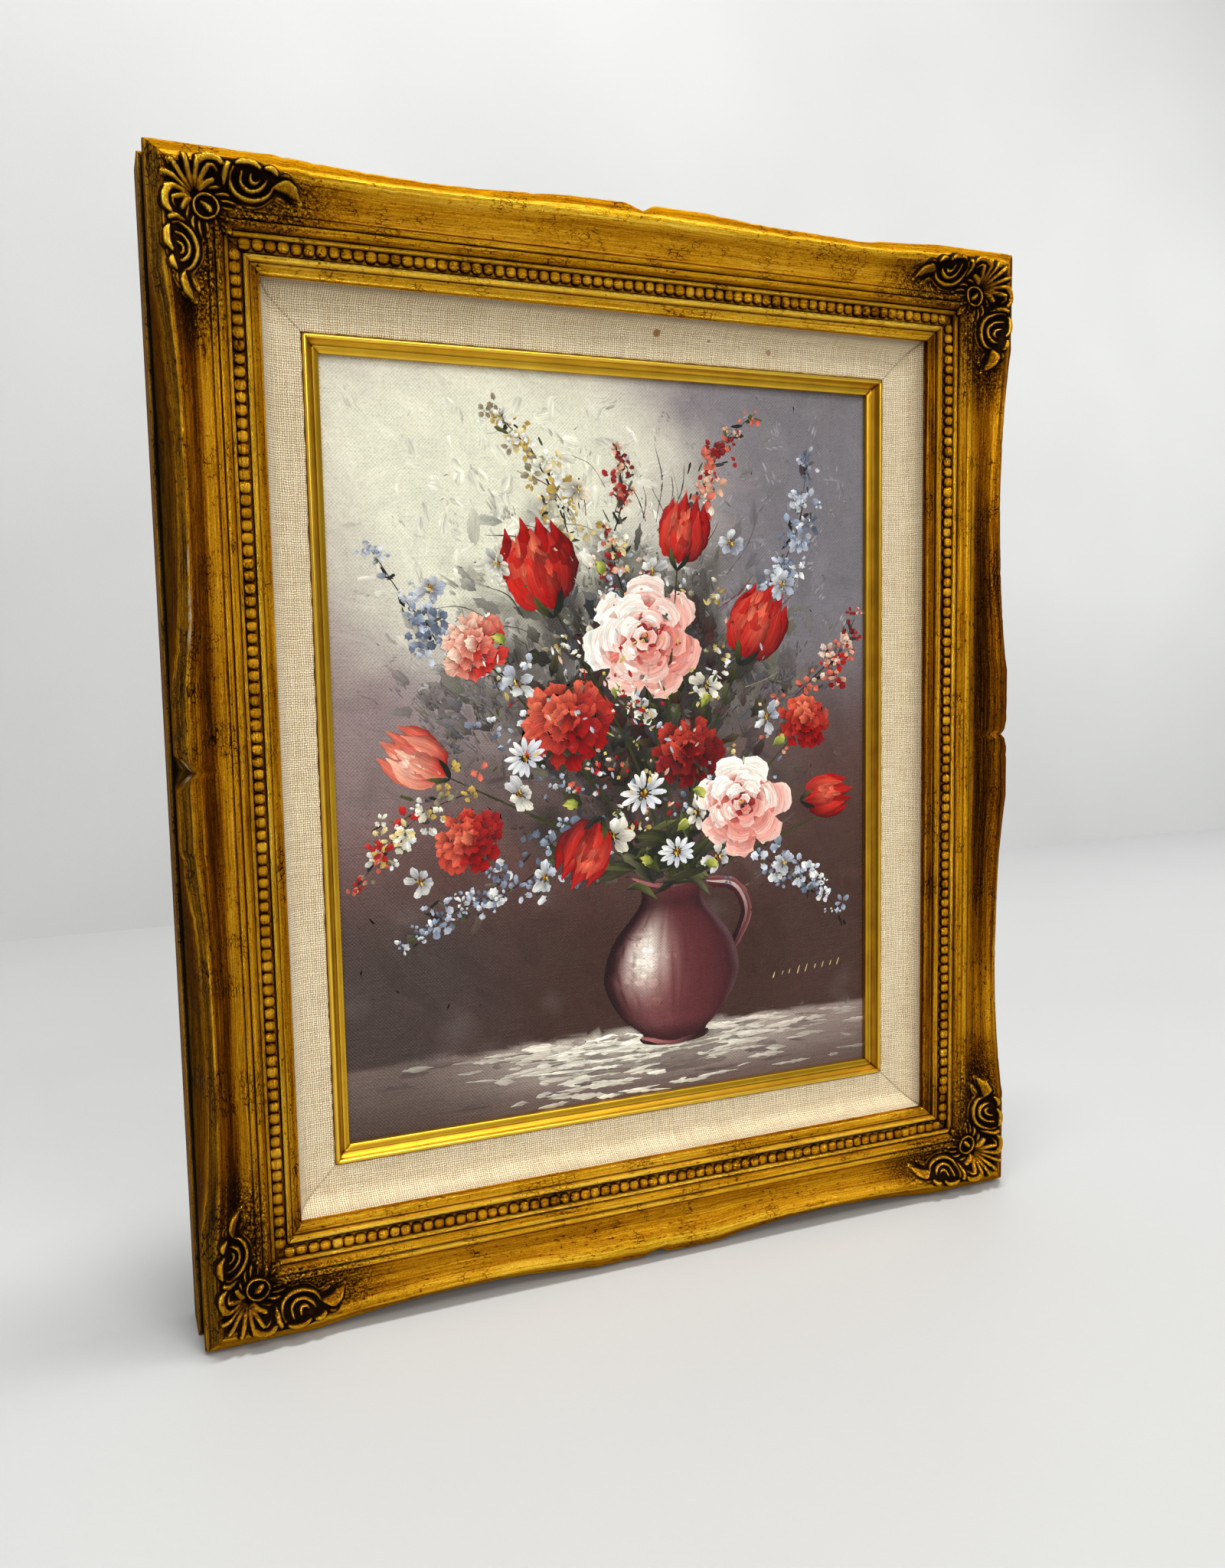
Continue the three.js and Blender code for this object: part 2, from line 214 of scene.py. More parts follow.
def finish_piece(piece, material, node, sharp=None):
    """Dresses a piece that stands for one CAD node; edges sharper than `sharp` degrees stay crisp."""
    if sharp:
        piece.data.set_sharp_from_angle(angle=math.radians(sharp))
    piece.data.materials.append(material)
    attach(piece, "root")
    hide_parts(node)


# ------------------------------------------------------------------ node helpers

class Wire:
    """A number that varies over a surface; each sum or product of two is one Math node."""

    def __init__(self, shader, socket):
        self.shader, self.socket = shader, socket

    def __add__(self, other):
        return self.shader.maths("ADD", self, other)

    def __sub__(self, other):
        return self.shader.maths("SUBTRACT", self, other)

    def __rsub__(self, other):
        return self.shader.maths("SUBTRACT", other, self)

    def __mul__(self, other):
        return self.shader.maths("MULTIPLY", self, other)


class Shader:
    """Builds one procedural material; its methods return wires."""

    def __init__(self, name):
        self.material = bpy.data.materials.new(name)
        self.material.use_nodes = True
        self.tree = self.material.node_tree
        self.shader = self.tree.nodes["Principled BSDF"]

    def put(self, socket, value):
        if isinstance(value, Wire):
            self.tree.links.new(value.socket, socket)
        else:
            socket.default_value = value

    def node(self, kind, inputs, output=0, **settings):
        made = self.tree.nodes.new("ShaderNode" + kind)
        for key, value in settings.items():
            setattr(made, key, value)
        for key, value in inputs.items():
            self.put(made.inputs[key], value)
        return Wire(self, made.outputs[output])

    def set(self, **inputs):
        for key, value in inputs.items():
            self.put(self.shader.inputs[key.replace("_", " ")], value)

    def values(self, *names):
        return [self.node("Attribute", {}, "Fac", attribute_name=name) for name in names]

    def vector(self, name):
        return self.node("Attribute", {}, "Vector", attribute_name=name)

    def vector_maths(self, operation, a, b, output="Vector"):
        return self.node("VectorMath", {0: a, 1: b}, output, operation=operation)

    def noise(self, vector, scale=1.0, detail=3.0, rough=0.55, twist=0.0, stretch=None):
        """Noise; `stretch` scales the first two directions on their own."""
        if stretch:
            vector = self.vector_maths("MULTIPLY", vector, (*stretch, 1.0))
        return self.node("TexNoise", {"Vector": vector, "Scale": scale, "Detail": detail,
                                      "Roughness": rough, "Distortion": twist}, "Fac")

    def cells(self, vector, scale, feature="F1"):
        return self.node("TexVoronoi", {"Vector": vector, "Scale": scale}, "Distance", feature=feature)

    def threads(self, vector, pitch):
        """Waves along and across, one for every thread of a cloth."""
        parts = self.node("SeparateXYZ", {0: vector}).socket.node.outputs
        return [self.maths("SINE", Wire(self, parts[k]) * (math.pi / pitch)) for k in (0, 1)]

    def maths(self, operation, a, b=0.5):
        return self.node("Math", {0: a, 1: b}, operation=operation)

    def span(self, value, low, high, to_low=0.0, to_high=1.0):
        return self.node("MapRange", {0: value, 1: low, 2: high, 3: to_low, 4: to_high},
                         interpolation_type="SMOOTHSTEP")

    def mix(self, share, a, b, blend="MIX"):
        a, b = [(*v, 1.0) if isinstance(v, tuple) else v for v in (a, b)]
        made = self.tree.nodes.new("ShaderNodeMix")
        made.data_type, made.blend_type = "RGBA", blend
        for index, value in ((0, share), (6, a), (7, b)):
            self.put(made.inputs[index], value)
        return Wire(self, made.outputs[2])

    def ramp(self, share, *stops):
        made = self.tree.nodes.new("ShaderNodeValToRGB")
        elements = made.color_ramp.elements
        while len(elements) < len(stops):
            elements.new(0.5)
        for element, (at, *colour) in zip(elements, stops):
            element.position, element.color = at, (*colour, 1.0)
        self.put(made.inputs[0], share)
        return Wire(self, made.outputs[0])

    def bump(self, height, strength, depth, **normal):
        return self.node("Bump", {"Height": height, "Strength": strength, "Distance": depth, **normal})


def antique_gold(name, streak=1.0, dull=0.46):
    """Gold over brown: rubbed bright on edges, brown-black wash in hollows, streaked along the rail; the
    rails' tone also brings painted light and shade.
    """
    s = Shader(name)
    flow = s.vector("flow")
    tone, cav, chip, raw, stipple, olive, gloss = s.values("tone", "cav", "chip", "raw", "stipple",
                                                           "olive", "gloss")
    drawn = s.noise(flow, 1.0, 7.0, 0.75, stretch=(0.014, 1.2))
    fine = s.noise(flow, 1.0, 7.0, 0.85, stretch=(0.035, 2.4))
    blotch = s.noise(flow, 1.0, 5.0, 0.6, 0.3, stretch=(0.03, 0.26))
    scratch = s.span(s.noise(flow, 1.0, 3.0, 0.7, stretch=(0.12, 3.6)), 0.62, 0.70)
    grain = s.noise(flow, 2.6, 4.0, 0.7)
    pebble = s.noise(flow, 1.3, 4.0, 0.62)
    grime = s.span(s.noise(flow, 1.0, 6.0, 0.7, stretch=(0.55, 1.1)), 0.55, 0.66)
    spread = s.span(s.noise(flow, 0.06), 0.38, 0.56)
    combed = (drawn - 0.5) * (0.52 * streak) + (fine - 0.5) * (1.45 * streak)
    mask = tone + combed * s.span(stipple, 0.0, 0.9, 1.0, 0.3) + (blotch - 0.5) * 0.36
    mask = mask - scratch * (0.26 * streak) + (grain - 0.5) * 0.60 + cav * 0.28
    mask = mask - grime * spread * 0.40 + (pebble - 0.57) * stipple * 3.4
    # Crazing: a net of fine dark cracks in patches, thickest beside the castings.
    net = s.vector_maths("MULTIPLY", flow, (0.42, 0.95, 1.0))
    net = s.span(s.cells(net, 1.0, "DISTANCE_TO_EDGE"), 0.0, 0.085, 1.0, 0.0)
    patchy = s.span(s.noise(flow, 0.075, 3.0, 0.6), 0.53, 0.64)
    crazed = net * s.maths("MAXIMUM", patchy, stipple * 0.9)
    # Fly specks: small dark dots, sparse.
    specks = s.span(s.cells(flow, 0.42), 0.10, 0.06)
    some = s.span(s.noise(flow, 0.09, 2.0), 0.46, 0.58)
    mask = mask - crazed * 0.42 - specks * some * 0.8
    colour = s.ramp(mask, (0.0, 0.004, 0.0016, 0.0006), (0.2, 0.030, 0.0095, 0.0014),
                    (0.38, 0.18, 0.054, 0.0020), (0.57, 0.46, 0.190, 0.005),
                    (0.78, 0.80, 0.43, 0.014), (1.0, 1.0, 0.68, 0.08))
    brassy = s.ramp(mask, (0.0, 0.005, 0.0035, 0.0018), (0.22, 0.030, 0.018, 0.0060),
                    (0.45, 0.21, 0.115, 0.010), (0.72, 0.60, 0.34, 0.022), (1.0, 0.98, 0.66, 0.08))
    gesso = s.ramp(grain, (0.3, 0.30, 0.17, 0.07), (0.7, 0.62, 0.50, 0.33))
    timber = s.ramp(s.noise(flow, 1.0, 7.0, 0.7, stretch=(0.03, 1.1)), (0.2, 0.10, 0.052, 0.024),
                    (0.5, 0.20, 0.115, 0.055), (0.8, 0.29, 0.18, 0.09))
    colour = s.mix(raw, s.mix(chip, s.mix(olive, colour, brassy), gesso), timber)
    bare = s.maths("MAXIMUM", chip, raw)
    rough = s.span(mask, 0.1, 0.85, dull + 0.04, dull - 0.08) - gloss * 0.17
    rise = fine * 1.1 + grain * 0.6 + drawn * 0.6 - crazed * 0.4 - specks * 0.5
    normal = s.bump(pebble * stipple, 0.9, 0.0006, Normal=s.bump(rise, 1.0, 0.00036))
    s.set(Base_Color=colour, Metallic=s.span(mask, 0.0, 0.3, 0.65, 1.0) * (1.0 - bare), Normal=normal,
          Roughness=s.maths("MAXIMUM", rough, bare * 0.8), Specular_IOR_Level=0.3,
          Specular_Tint=(0.5, 0.24, 0.05, 1.0))
    return s.material


# ------------------------------------------------------------------ the frame's rails

COVE = through([(14.3, 25.65), (15.6, 25.1), (17.4, 25.1), (19.1, 25.9), (20.8, 27.5), (22.2, 29.6),
                (23.2, 30.7), (24.6, 31.0), (26.0, 31.0)], 240)
COVE_START = COVE[0, 0]
LIP_TO_RIDGE = (
    [(0.0, 17.1), (0.0, 18.2), (0.02, 18.9), (0.12, 19.35), (0.4, 19.62)]
    + bow(0.8, 19.72, 2.6, 20.02, 0.06, 6) + [(2.78, 19.9), (2.9, 19.72), (3.0, 20.1)]
    + bow(3.05, 20.8, 4.6, 21.35, 0.62, 8) + [(4.68, 21.0), (4.85, 20.95)]
    + bow(5.2, 21.15, 8.35, 21.2, 0.25, 5) + [(8.5, 21.0), (8.6, 21.2)]
    + bow(8.64, 22.7, 9.72, 23.1, 0.62, 8) + [(9.82, 22.75), (9.9, 22.85)]
    + bow(9.97, 24.0, 12.2, 24.9, 1.15, 11) + [(12.32, 24.35), (12.42, 24.4)]
    + bow(12.52, 25.15, 14.15, 25.65, 0.62, 8)
)
RIM = ([(29.6, 15.25), (30.2, 15.15), (30.5, 14.9), (30.6, 14.5)]
       + [(30.6 - dip, h) for h, dip in ((11.6, 0), (11.3, 0.4), (11.0, 0.45), (10.7, 0.0), (7.4, 0),
                                         (7.1, 0.35), (6.8, 0.4), (6.5, 0), (3.0, 0), (0.4, 0))]
       + [(30.3, 0.0), (24.0, 0.0), (15.0, 0.0), (6.0, 0.0), (6.0, 6.0), (6.0, 12.0), (6.0, 17.1),
          (3.0, 17.1)])
COVE_POINTS, BEVEL_POINTS, SIDE_POINTS = 30, 8, 10
BEVEL_FROM = len(LIP_TO_RIDGE) + COVE_POINTS

# Losses along the outer edge that the photo shows: middle, half length and depth.
LOSSES = {"top": [(80.0, 7.5, 1.1)], "left": [(-25.0, 2.6, 0.8)]}
# Where the gilding is rubbed or knocked down to the gesso: middle and half length along the rail,
# then the first and last point of the section, counted from the crest.
BARE_SPOTS = {"left": [(42, 7, -1, 0), (58, 3, 0, 0), (0, 2.8, BEVEL_POINTS - 3, BEVEL_POINTS + 2)],
              "right": [(0, 2.2, BEVEL_POINTS - 2, BEVEL_POINTS + 2),
                        (-88, 6, BEVEL_POINTS - 1, BEVEL_POINTS)],
              "top": [(22, 6, BEVEL_POINTS - 1, BEVEL_POINTS)]}
# How bright the gilding is, and how much each band of it is darkened or (the cove's lift) lightened.
# These hold painted light and shade as well as the gilding's own tone: the rails differ by how the light
# falls on each, the lip, cove and bevel darkenings are painted shade, and the lift is a painted highlight.
RAIL_TONES_AND_SHADE = {"top": dict(base=0.81, lip=0.04, ridge=0.32, cove=0.06, lift=0.04, bevel=0.24, edge=0.16),
         "right": dict(base=0.60, lip=0.22, ridge=0.17, cove=0.36, lift=0.08, bevel=0.26, edge=0.16),
         "bottom": dict(base=0.71, lip=0.04, ridge=0.14, cove=0.03, lift=0.04, bevel=0.12, edge=0.16),
         "left": dict(base=0.60, lip=0.10, ridge=0.17, cove=0.27, lift=0.13, bevel=0.28, edge=0.26)}


def face_height(across):
    """Height of the cove and crest, before the edge is swept."""
    return np.interp(across, COVE[:, 0], COVE[:, 1])


def sweep_at(along, depth, lip):
    share = (np.abs(along) - BULGE_END) / (lip + FRAME_WIDTH - STRAIGHT_CORNER - BULGE_END)
    inside = (share > 0) & (share < 1)
    return np.where(inside, depth * np.sin(np.pi * np.clip(share, 0, 1)) ** 0.8, 0.0)


def chips(along, places):
    """Depth of small losses along an edge: places are (middle, half length, depth)."""
    total = np.zeros_like(along)
    for middle, half, depth in places:
        total = np.maximum(total, depth * np.clip(1 - np.abs((along - middle) / half) ** 3, 0, 1))
    return total


def rail_sections(side, d, s):
    """Across and height of every point of every section, with the rail's own wear."""
    lip, seed = d["half"] + FRAME_INNER, d["seed"]
    draw = sweep_at(s, d["sweep"], lip)
    deepest = SIDE_NOTCH_DEPTH if side in ("left", "right") else NOTCH_DEPTH
    notch = deepest * np.clip(1 - np.abs(s) / NOTCH_HALF, 0, 1)
    r = np.random.default_rng(seed)
    losses = [(r.uniform(-lip, lip), r.uniform(0.6, 2.2), r.uniform(0.15, 0.5)) for _ in range(16)]
    knocks = [(r.uniform(-lip, lip), r.uniform(0.5, 1.8), r.uniform(0.1, 0.35)) for _ in range(12)]
    losses += LOSSES.get(side, [])
    edge = 0.2 * wobble(s, seed + 1, 17) + 0.08 * wobble(s, seed + 2, 4)
    crest = 0.25 * wobble(s, seed + 3, 21) + 0.08 * wobble(s, seed + 4, 5)
    c0 = (CREST_END[0] - CREST_SHARE * draw + crest)[:, None]
    c1 = np.minimum(EDGE_CORNER[0] - draw + np.minimum(edge, 0.05), EDGE_CORNER[0])[:, None]
    slope = (CREST_END[1] - EDGE_CORNER[1]) / (c1 - c0)
    top = CREST_END[1] - (chips(s, knocks) + np.clip(notch - NOTCH_DEPTH, 0, None))[:, None]
    # Where the bevel meets the cove or the crest.
    a = np.linspace(20.0, 26.0, 241)[None, :]
    meet = a[0, np.argmax(face_height(a) >= top - (a - c0) * slope, 1)][:, None]
    cove_a = COVE_START + (meet - COVE_START) * np.linspace(0, 1, COVE_POINTS + 1)[1:] ** 0.9
    cut = c1 - (notch + chips(s, losses))[:, None]
    bevel_a = meet + (cut - meet) * np.linspace(0, 1, BEVEL_POINTS + 1)[1:]
    bevel_h = top - (bevel_a - c0) * slope
    t = np.linspace(0, 1, SIDE_POINTS + 1)[1:]
    cleft = np.clip(notch / 0.5, 0, 1)[:, None]
    share = t * (1 - cleft) + cleft * np.clip((t - 0.84) / 0.16, 0, 1)
    side_a = cut + (EDGE_FOOT[0] - cut) * share
    side_h = bevel_h[:, -1:] + (EDGE_FOOT[1] - bevel_h[:, -1:]) * t

    def every_row(values):
        return np.tile(values, (len(s), 1))
    fixed, rim = np.array(LIP_TO_RIDGE), np.array(RIM)
    across = np.hstack([every_row(fixed[:, 0]), cove_a, bevel_a, side_a, every_row(rim[:, 0])])
    height = np.hstack([every_row(fixed[:, 1]), face_height(cove_a), bevel_h, side_h, every_row(rim[:, 1])])
    # Ease the crest's edge and the outer corner.
    for middle in (BEVEL_FROM - 1, BEVEL_FROM + BEVEL_POINTS - 1):
        for array in (across, height, across, height):
            part = array[:, middle - 2:middle + 3]
            array[:, middle - 1:middle + 2] = (part[:, :-2] + 2 * part[:, 1:-1] + part[:, 2:]) / 4
    return across, height


def convexity(across, height, reach=0.45):
    """How far each point of a closed profile stands out from its neighbours `reach` away."""
    step = np.hypot(np.diff(across, append=across[:1]), np.diff(height, append=height[:1]))
    girth = np.concatenate([[0], np.cumsum(step)[:-1]])

    def at(where):
        return np.array([np.interp(where, girth, line, period=step.sum()) for line in (across, height)])
    (a0, h0), (a1, h1) = at(girth - reach), at(girth + reach)
    outward = np.stack([-(h1 - h0), a1 - a0], -1)
    outward /= np.linalg.norm(outward, axis=1)[:, None] + 1e-9
    away = np.stack([across - (a0 + a1) / 2, height - (h0 + h1) / 2], -1)
    return (away * outward).sum(1), girth


def stations(reach, halves):
    """Places along a rail, the same to both sides of its middle."""
    half = np.concatenate([halves, reach])
    return np.unique(np.concatenate([-half[::-1], half]))


def mitred(s, across, lip, width, knee, gap):
    """Where each point lies along the rail: its two ends are sheared to meet the mitres."""
    away = np.abs(s)[:, None]
    share = (away - knee) / (lip + width - knee)
    end = np.sign(s)[:, None] * (knee + share * (lip + across - gap - knee))
    return np.where(away <= knee, s[:, None], end)


def rail_tone(side, s, across, height):
    """How bright the gilding is at each point, before the fine streaks, with painted light and shade in it,
    and how olive.
    """
    lip, seed, t = SIDES[side]["half"] + FRAME_INNER, SIDES[side]["seed"], RAIL_TONES_AND_SHADE[side]
    column = np.arange(across.shape[1])[None, :] - BEVEL_FROM
    cove = (column >= -COVE_POINTS) & (column < 0)
    bevel = (column >= 0) & (column < BEVEL_POINTS)
    edge = column >= BEVEL_POINTS
    away = np.abs(s)[:, None]
    # Painted shade on the lip's inner face and, rail by rail, on the lip band.
    tone = t["base"] - 0.16 * smooth(1.0, 0.0, across) - t["lip"] * smooth(4.7, 3.5, across)
    tone -= 0.20 * smooth(4.5, 4.9, across) * smooth(8.8, 8.5, across)
    tone -= t["ridge"] * smooth(8.4, 9.2, across) * smooth(14.6, 14.0, across)
    # Painted shade on the cove's outer part, on the right rail deepest in the middle of its length.
    near, far = (15.4, 18.4) if side == "right" else (16.5, 19.5)
    darker = t["cove"] * smooth(near, far, across) * cove
    if side == "right":
        darker *= 0.35 + 0.65 * (smooth(-120, -60, s) * smooth(100, 40, s))[:, None]
    tone -= darker
    # Painted highlight: the lift lightens the cove's inner part.
    tone += t["lift"] * smooth(14.2, 15.2, across) * smooth(near + 2.1, near + 0.5, across) * cove
    # Painted shade on the bevel.
    tone -= t["bevel"] * bevel
    # Painted highlight along the crest's edge, strongest on the left rail and broken up along its length.
    crest_glint = 0.5 + 0.5 * wobble(s, seed + 70, 9)[:, None] + 0.2 * wobble(s, 5, 2.3)[:, None]
    tone += 0.34 * np.isin(column, (-1, 0)) * (1.0 if side == "left" else 0.4) * np.clip(crest_glint, 0.1, 1)
    tone -= t["edge"] * edge * smooth(15.0, 18.0, height) + 0.40 * edge * smooth(17.5, 15.2, height)
    tone += 0.10 * edge * smooth(15, 12, height) * (side == "bottom")
    tone -= 0.20 * smooth(lip - 36, lip + 6, away) * smooth(12, 16, across) * smooth(27, 24, across)
    tone -= 0.12 * smooth(lip - 14, lip + 6, away) * smooth(16, 10, across)
    olive = (0.52 * bevel + 0.85 * edge) * (side == "left") + 0.12 * smooth(lip - 26, lip, away)
    return tone, np.clip(olive, 0, 1)


def bare_gesso(side, along, across, height):
    column = np.arange(across.shape[1])[None, :] - BEVEL_FROM
    bare = np.zeros_like(across)
    if side == "top":
        middle, half, _ = LOSSES["top"][0]
        bare = np.exp(-((along - middle) / (half - 0.5)) ** 4)
        bare = bare * smooth(28.0, 28.6, across) * smooth(24.5, 25.5, height)
    ragged = smooth(-0.5, 0.1, layered(along, across, SIDES[side]["seed"] + 9, 2.2))
    for middle, half, start, end in BARE_SPOTS.get(side, []):
        spot = np.exp(-((along - middle) / half) ** 4) * (column >= start) * (column <= end)
        bare = np.maximum(bare, spot * ragged)
    return np.clip(bare, 0, 1)


def bead_shape():
    """One bead's points about its own middle on the groove's floor, and its rings of 12 points."""
    turns = np.linspace(0, 2 * np.pi, 12, endpoint=False)
    c, q = np.cos(turns), np.sin(turns)
    ring_a = 1.90 * np.sign(c) * np.abs(c) ** 0.7
    ring_b = 1.80 * np.sign(q) * np.abs(q) ** 0.85
    rings = [(1.0, -0.4), (1.0, 0.1), (0.95, 0.48), (0.76, 0.80), (0.42, 0.96)]
    points = [np.stack([k * ring_a, k * ring_b, np.full(12, 1.75 * h)], -1) for k, h in rings]
    return np.vstack(points + [np.array([[0, 0, 1.75]])]), len(rings)


def frame_rail(side, d, material):
    lip, inner, seed = d["half"] + FRAME_INNER, d["other"] + FRAME_INNER, d["seed"]
    reach = lip + FRAME_WIDTH
    s = stations([reach - 0.8, reach - 0.3, reach],
                 np.concatenate([np.arange(0, 6, 0.4), np.arange(6.2, reach - 1, 1.5)]))
    across, height = rail_sections(side, d, s)
    rows, columns = across.shape
    along = mitred(s, across, lip, FRAME_WIDTH, lip - 3, 0.06)
    face = np.clip(smooth(18.0, 19.5, height) + smooth(24, 26, across) * smooth(14, 16, height), 0, 1)
    height = height - 0.3 * smooth(reach - 1.3, reach, np.abs(s))[:, None] * face
    cav, girth = convexity(across[rows // 2 + 26], height[rows // 2 + 26])
    cav = np.tile(np.clip(cav / 0.13, -1.2, 1.0), (rows, 1))
    top = face * (height > 17.5)
    height = height + top * (0.07 * layered(along, across * 4, seed + 5, 9)
                             + 0.05 * layered(along, across * 2.2, seed + 6, 2.5))
    tone, olive = rail_tone(side, s, across, height)
    raw = (smooth(6.5, 6.0, height) * smooth(30.45, 30.2, across)
           + smooth(17.0, 16.0, height) * smooth(20, 10, across))
    dist = np.hypot(lip + 9 - np.abs(along), across - 16)
    stipple = 0.85 * smooth(38, 12, dist) * smooth(8.5, 13.0, across) * smooth(24.5, 21, across) * top
    points = place(*turned(along, inner + across, d["turn"]), height)
    flow = np.stack([along, np.tile(girth, (rows, 1)), np.full_like(along, seed * 3.1)], -1).reshape(-1, 3)
    values = dict(tone=tone, cav=cav, chip=bare_gesso(side, along, across, height), raw=np.clip(raw, 0, 1),
                  stipple=stipple, olive=olive, gloss=np.clip(0.6 * cav + 0.1, 0, 0.7))
    faces = tube(rows, columns)

    # The beads, one by one.
    shape, rings = bead_shape()
    r = np.random.default_rng(seed + 9)
    lift, ring = shape[:, 2] / 1.75, np.arange(12)
    all_points, all_flow, lists = [points], [flow], {k: [v.ravel()] for k, v in values.items()}
    quads, threes, caps = [], [], []
    first = len(points)
    for bead in range(d["beads"]):
        at = (bead - (d["beads"] - 1) / 2) * BEAD_PITCH + r.normal(0, 0.05)
        b = shape * r.normal(1, 0.035, 3)
        b[:, 2] *= 1 - (smooth(lip - 10, lip + 4, abs(at)) * r.uniform(0.1, 0.6) + (r.random() < 0.05) * 0.3)
        b[:, :2] *= 1 - 0.06 * r.random()
        x, y = turned(at + b[:, 0], inner + BEAD_ACROSS + r.normal(0, 0.04) + b[:, 1], d["turn"])
        all_points.append(place(x, y, BEAD_AXIS - 0.25 + b[:, 2]))
        all_flow.append(np.stack([at + b[:, 0], 9 + b[:, 1] * 1.3, np.full(len(b), seed * 3.1)], -1))
        own = dict(tone=0.14 + 0.50 * np.clip(lift, 0, 1) ** 2 + r.normal(0, 0.06),
                   cav=np.clip(lift * 1.9 - 0.9, -1, 0.5), gloss=0 * lift + 1)
        for key, parts in lists.items():
            parts.append(own.get(key, 0 * lift))
        quads.append(grid_quads(rings, 12, first, ring=True))
        last = first + (rings - 1) * 12
        threes.append(np.stack([last + ring, last + (ring + 1) % 12, np.full(12, last + 12)], -1))
        caps.append(first + ring[::-1][None, :])
        first += len(shape)
    piece = mesh_piece(f"gilded_rail_{side}", np.vstack(all_points),
                       faces + [np.vstack(quads), np.vstack(threes), np.vstack(caps)],
                       {k: np.concatenate(v) for k, v in lists.items()}, {"flow": np.vstack(all_flow)})
    finish_piece(piece, material, f"frame_rail_{side}", 48)


# ------------------------------------------------------------------ the cast corner ornaments

def stroke(points, width, height, tip=(0.5, 0.5), sharp=False, groove=0.0, tilt=0.0):
    return dict(points=points, width=width, height=height, tip=tip, sharp=sharp, groove=groove, tilt=tilt)


# One arm, as [p, q]: p runs along the rail from the frame's corner, q inwards from its edge.
ARM = [
    stroke([(15.6, 10.2), (15.8, 8.0), (17.6, 6.4), (20.2, 6.3), (21.8, 7.6)], 1.25, 2.0, (0.4, 0.6),
           tilt=0.35),
    stroke([(17.6, 10.6), (17.8, 9.0), (19.4, 8.4), (20.9, 9.6)], 0.8, 1.6, (0.5, 0.4), True),
    stroke([(16.3, 12.8), (18.2, 11.6), (20.2, 11.0)], 0.65, 1.5, (0.6, 0.2), True),
    stroke([(17.6, 14.0), (19.9, 13.1), (22.2, 12.8)], 0.65, 1.4, (0.6, 0.2), True),
    stroke([(22.6, 12.2), (22.6, 9.6), (23.3, 7.4)], 0.95, 1.8, (0.3, 0.9), tilt=-0.35),
    stroke([(24.8, 7.9), (23.9, 10.4), (24.9, 13.6), (27.8, 15.5), (31.2, 15.6), (34.2, 13.8), (35.7, 11.2)],
           1.35, 2.0, (0.4, 0.3), True, tilt=0.35),
    stroke([(27.0, 8.8), (26.8, 11.2), (28.6, 13.1), (31.2, 13.0), (33.2, 11.2), (33.9, 9.6)],
           1.05, 1.9, (0.5, 0.2), True, tilt=0.3),
    stroke([(29.3, 9.2), (29.5, 10.8), (30.9, 11.2), (31.9, 10.1)], 0.75, 1.8, (0.6, 0.4), True),
    stroke([(25.4, 6.8), (27.2, 6.0), (29.8, 6.1), (31.7, 7.5)], 1.1, 1.9, (0.4, 0.5), tilt=-0.35),
    stroke([(33.2, 7.4), (34.8, 7.4), (36.2, 8.6)], 0.95, 1.7, (0.5, 0.6)),
    stroke([(36.5, 11.4), (38.6, 11.2), (40.9, 12.2), (43.1, 14.6)], 1.5, 1.8, (0.5, 0.03), groove=0.3,
           tilt=0.4),
    stroke([(36.9, 8.9), (38.8, 8.8), (40.6, 9.9)], 0.7, 1.1, (0.5, 0.1), True),
    stroke([(36.0, 13.6), (37.8, 14.2), (39.6, 15.6)], 0.65, 1.0, (0.5, 0.1), True),
    stroke([(20.6, 14.9), (22.8, 14.6), (25.2, 15.4)], 0.7, 1.4, (0.7, 0.2), True),
    stroke([(21.6, 16.6), (23.8, 16.7), (26.8, 17.5)], 0.7, 1.3, (0.6, 0.15), True),
    stroke([(21.6, 18.5), (23.4, 19.1), (25.6, 19.0)], 0.6, 1.0, (0.6, 0.15), True),
    stroke([(20.0, 22.0), (20.6, 25.2)], 0.65, 0.9, (0.5, 0.1), True),
    stroke([(18.0, 10.2), (24.0, 10.6), (30.6, 10.8), (35.0, 10.6)], 4.3, 0.22, (0.9, 0.7)),
]
FAN, FAN_FROM, RING = [5.6, 6.8, 7.8, 8.5, 8.9, 8.5, 7.8, 6.8, 5.6], 15.2, 17.9
ARM_MIDDLE, ARM_NARROW = 12.4, 0.84
SWELL, LIFT, ORNAMENT_KNEE, ORNAMENT_TOP = 0.98, 1.22, 32.1, 33.35
ORNAMENT_SPAN, ORNAMENT_STEP, ORNAMENT_EDGE = (4.2, 46.6), 0.25, 0.85
# Each casting's turn, the way its corner lies, how bright it is and the most that it may be.
CORNERS = {"top_right": (0, 1, 1, 0.06, 0.46), "top_left": (90, -1, 1, 0.20, 0.66),
           "bottom_left": (180, -1, -1, 0.02, 0.44), "bottom_right": (-90, 1, -1, 0.14, 0.52)}


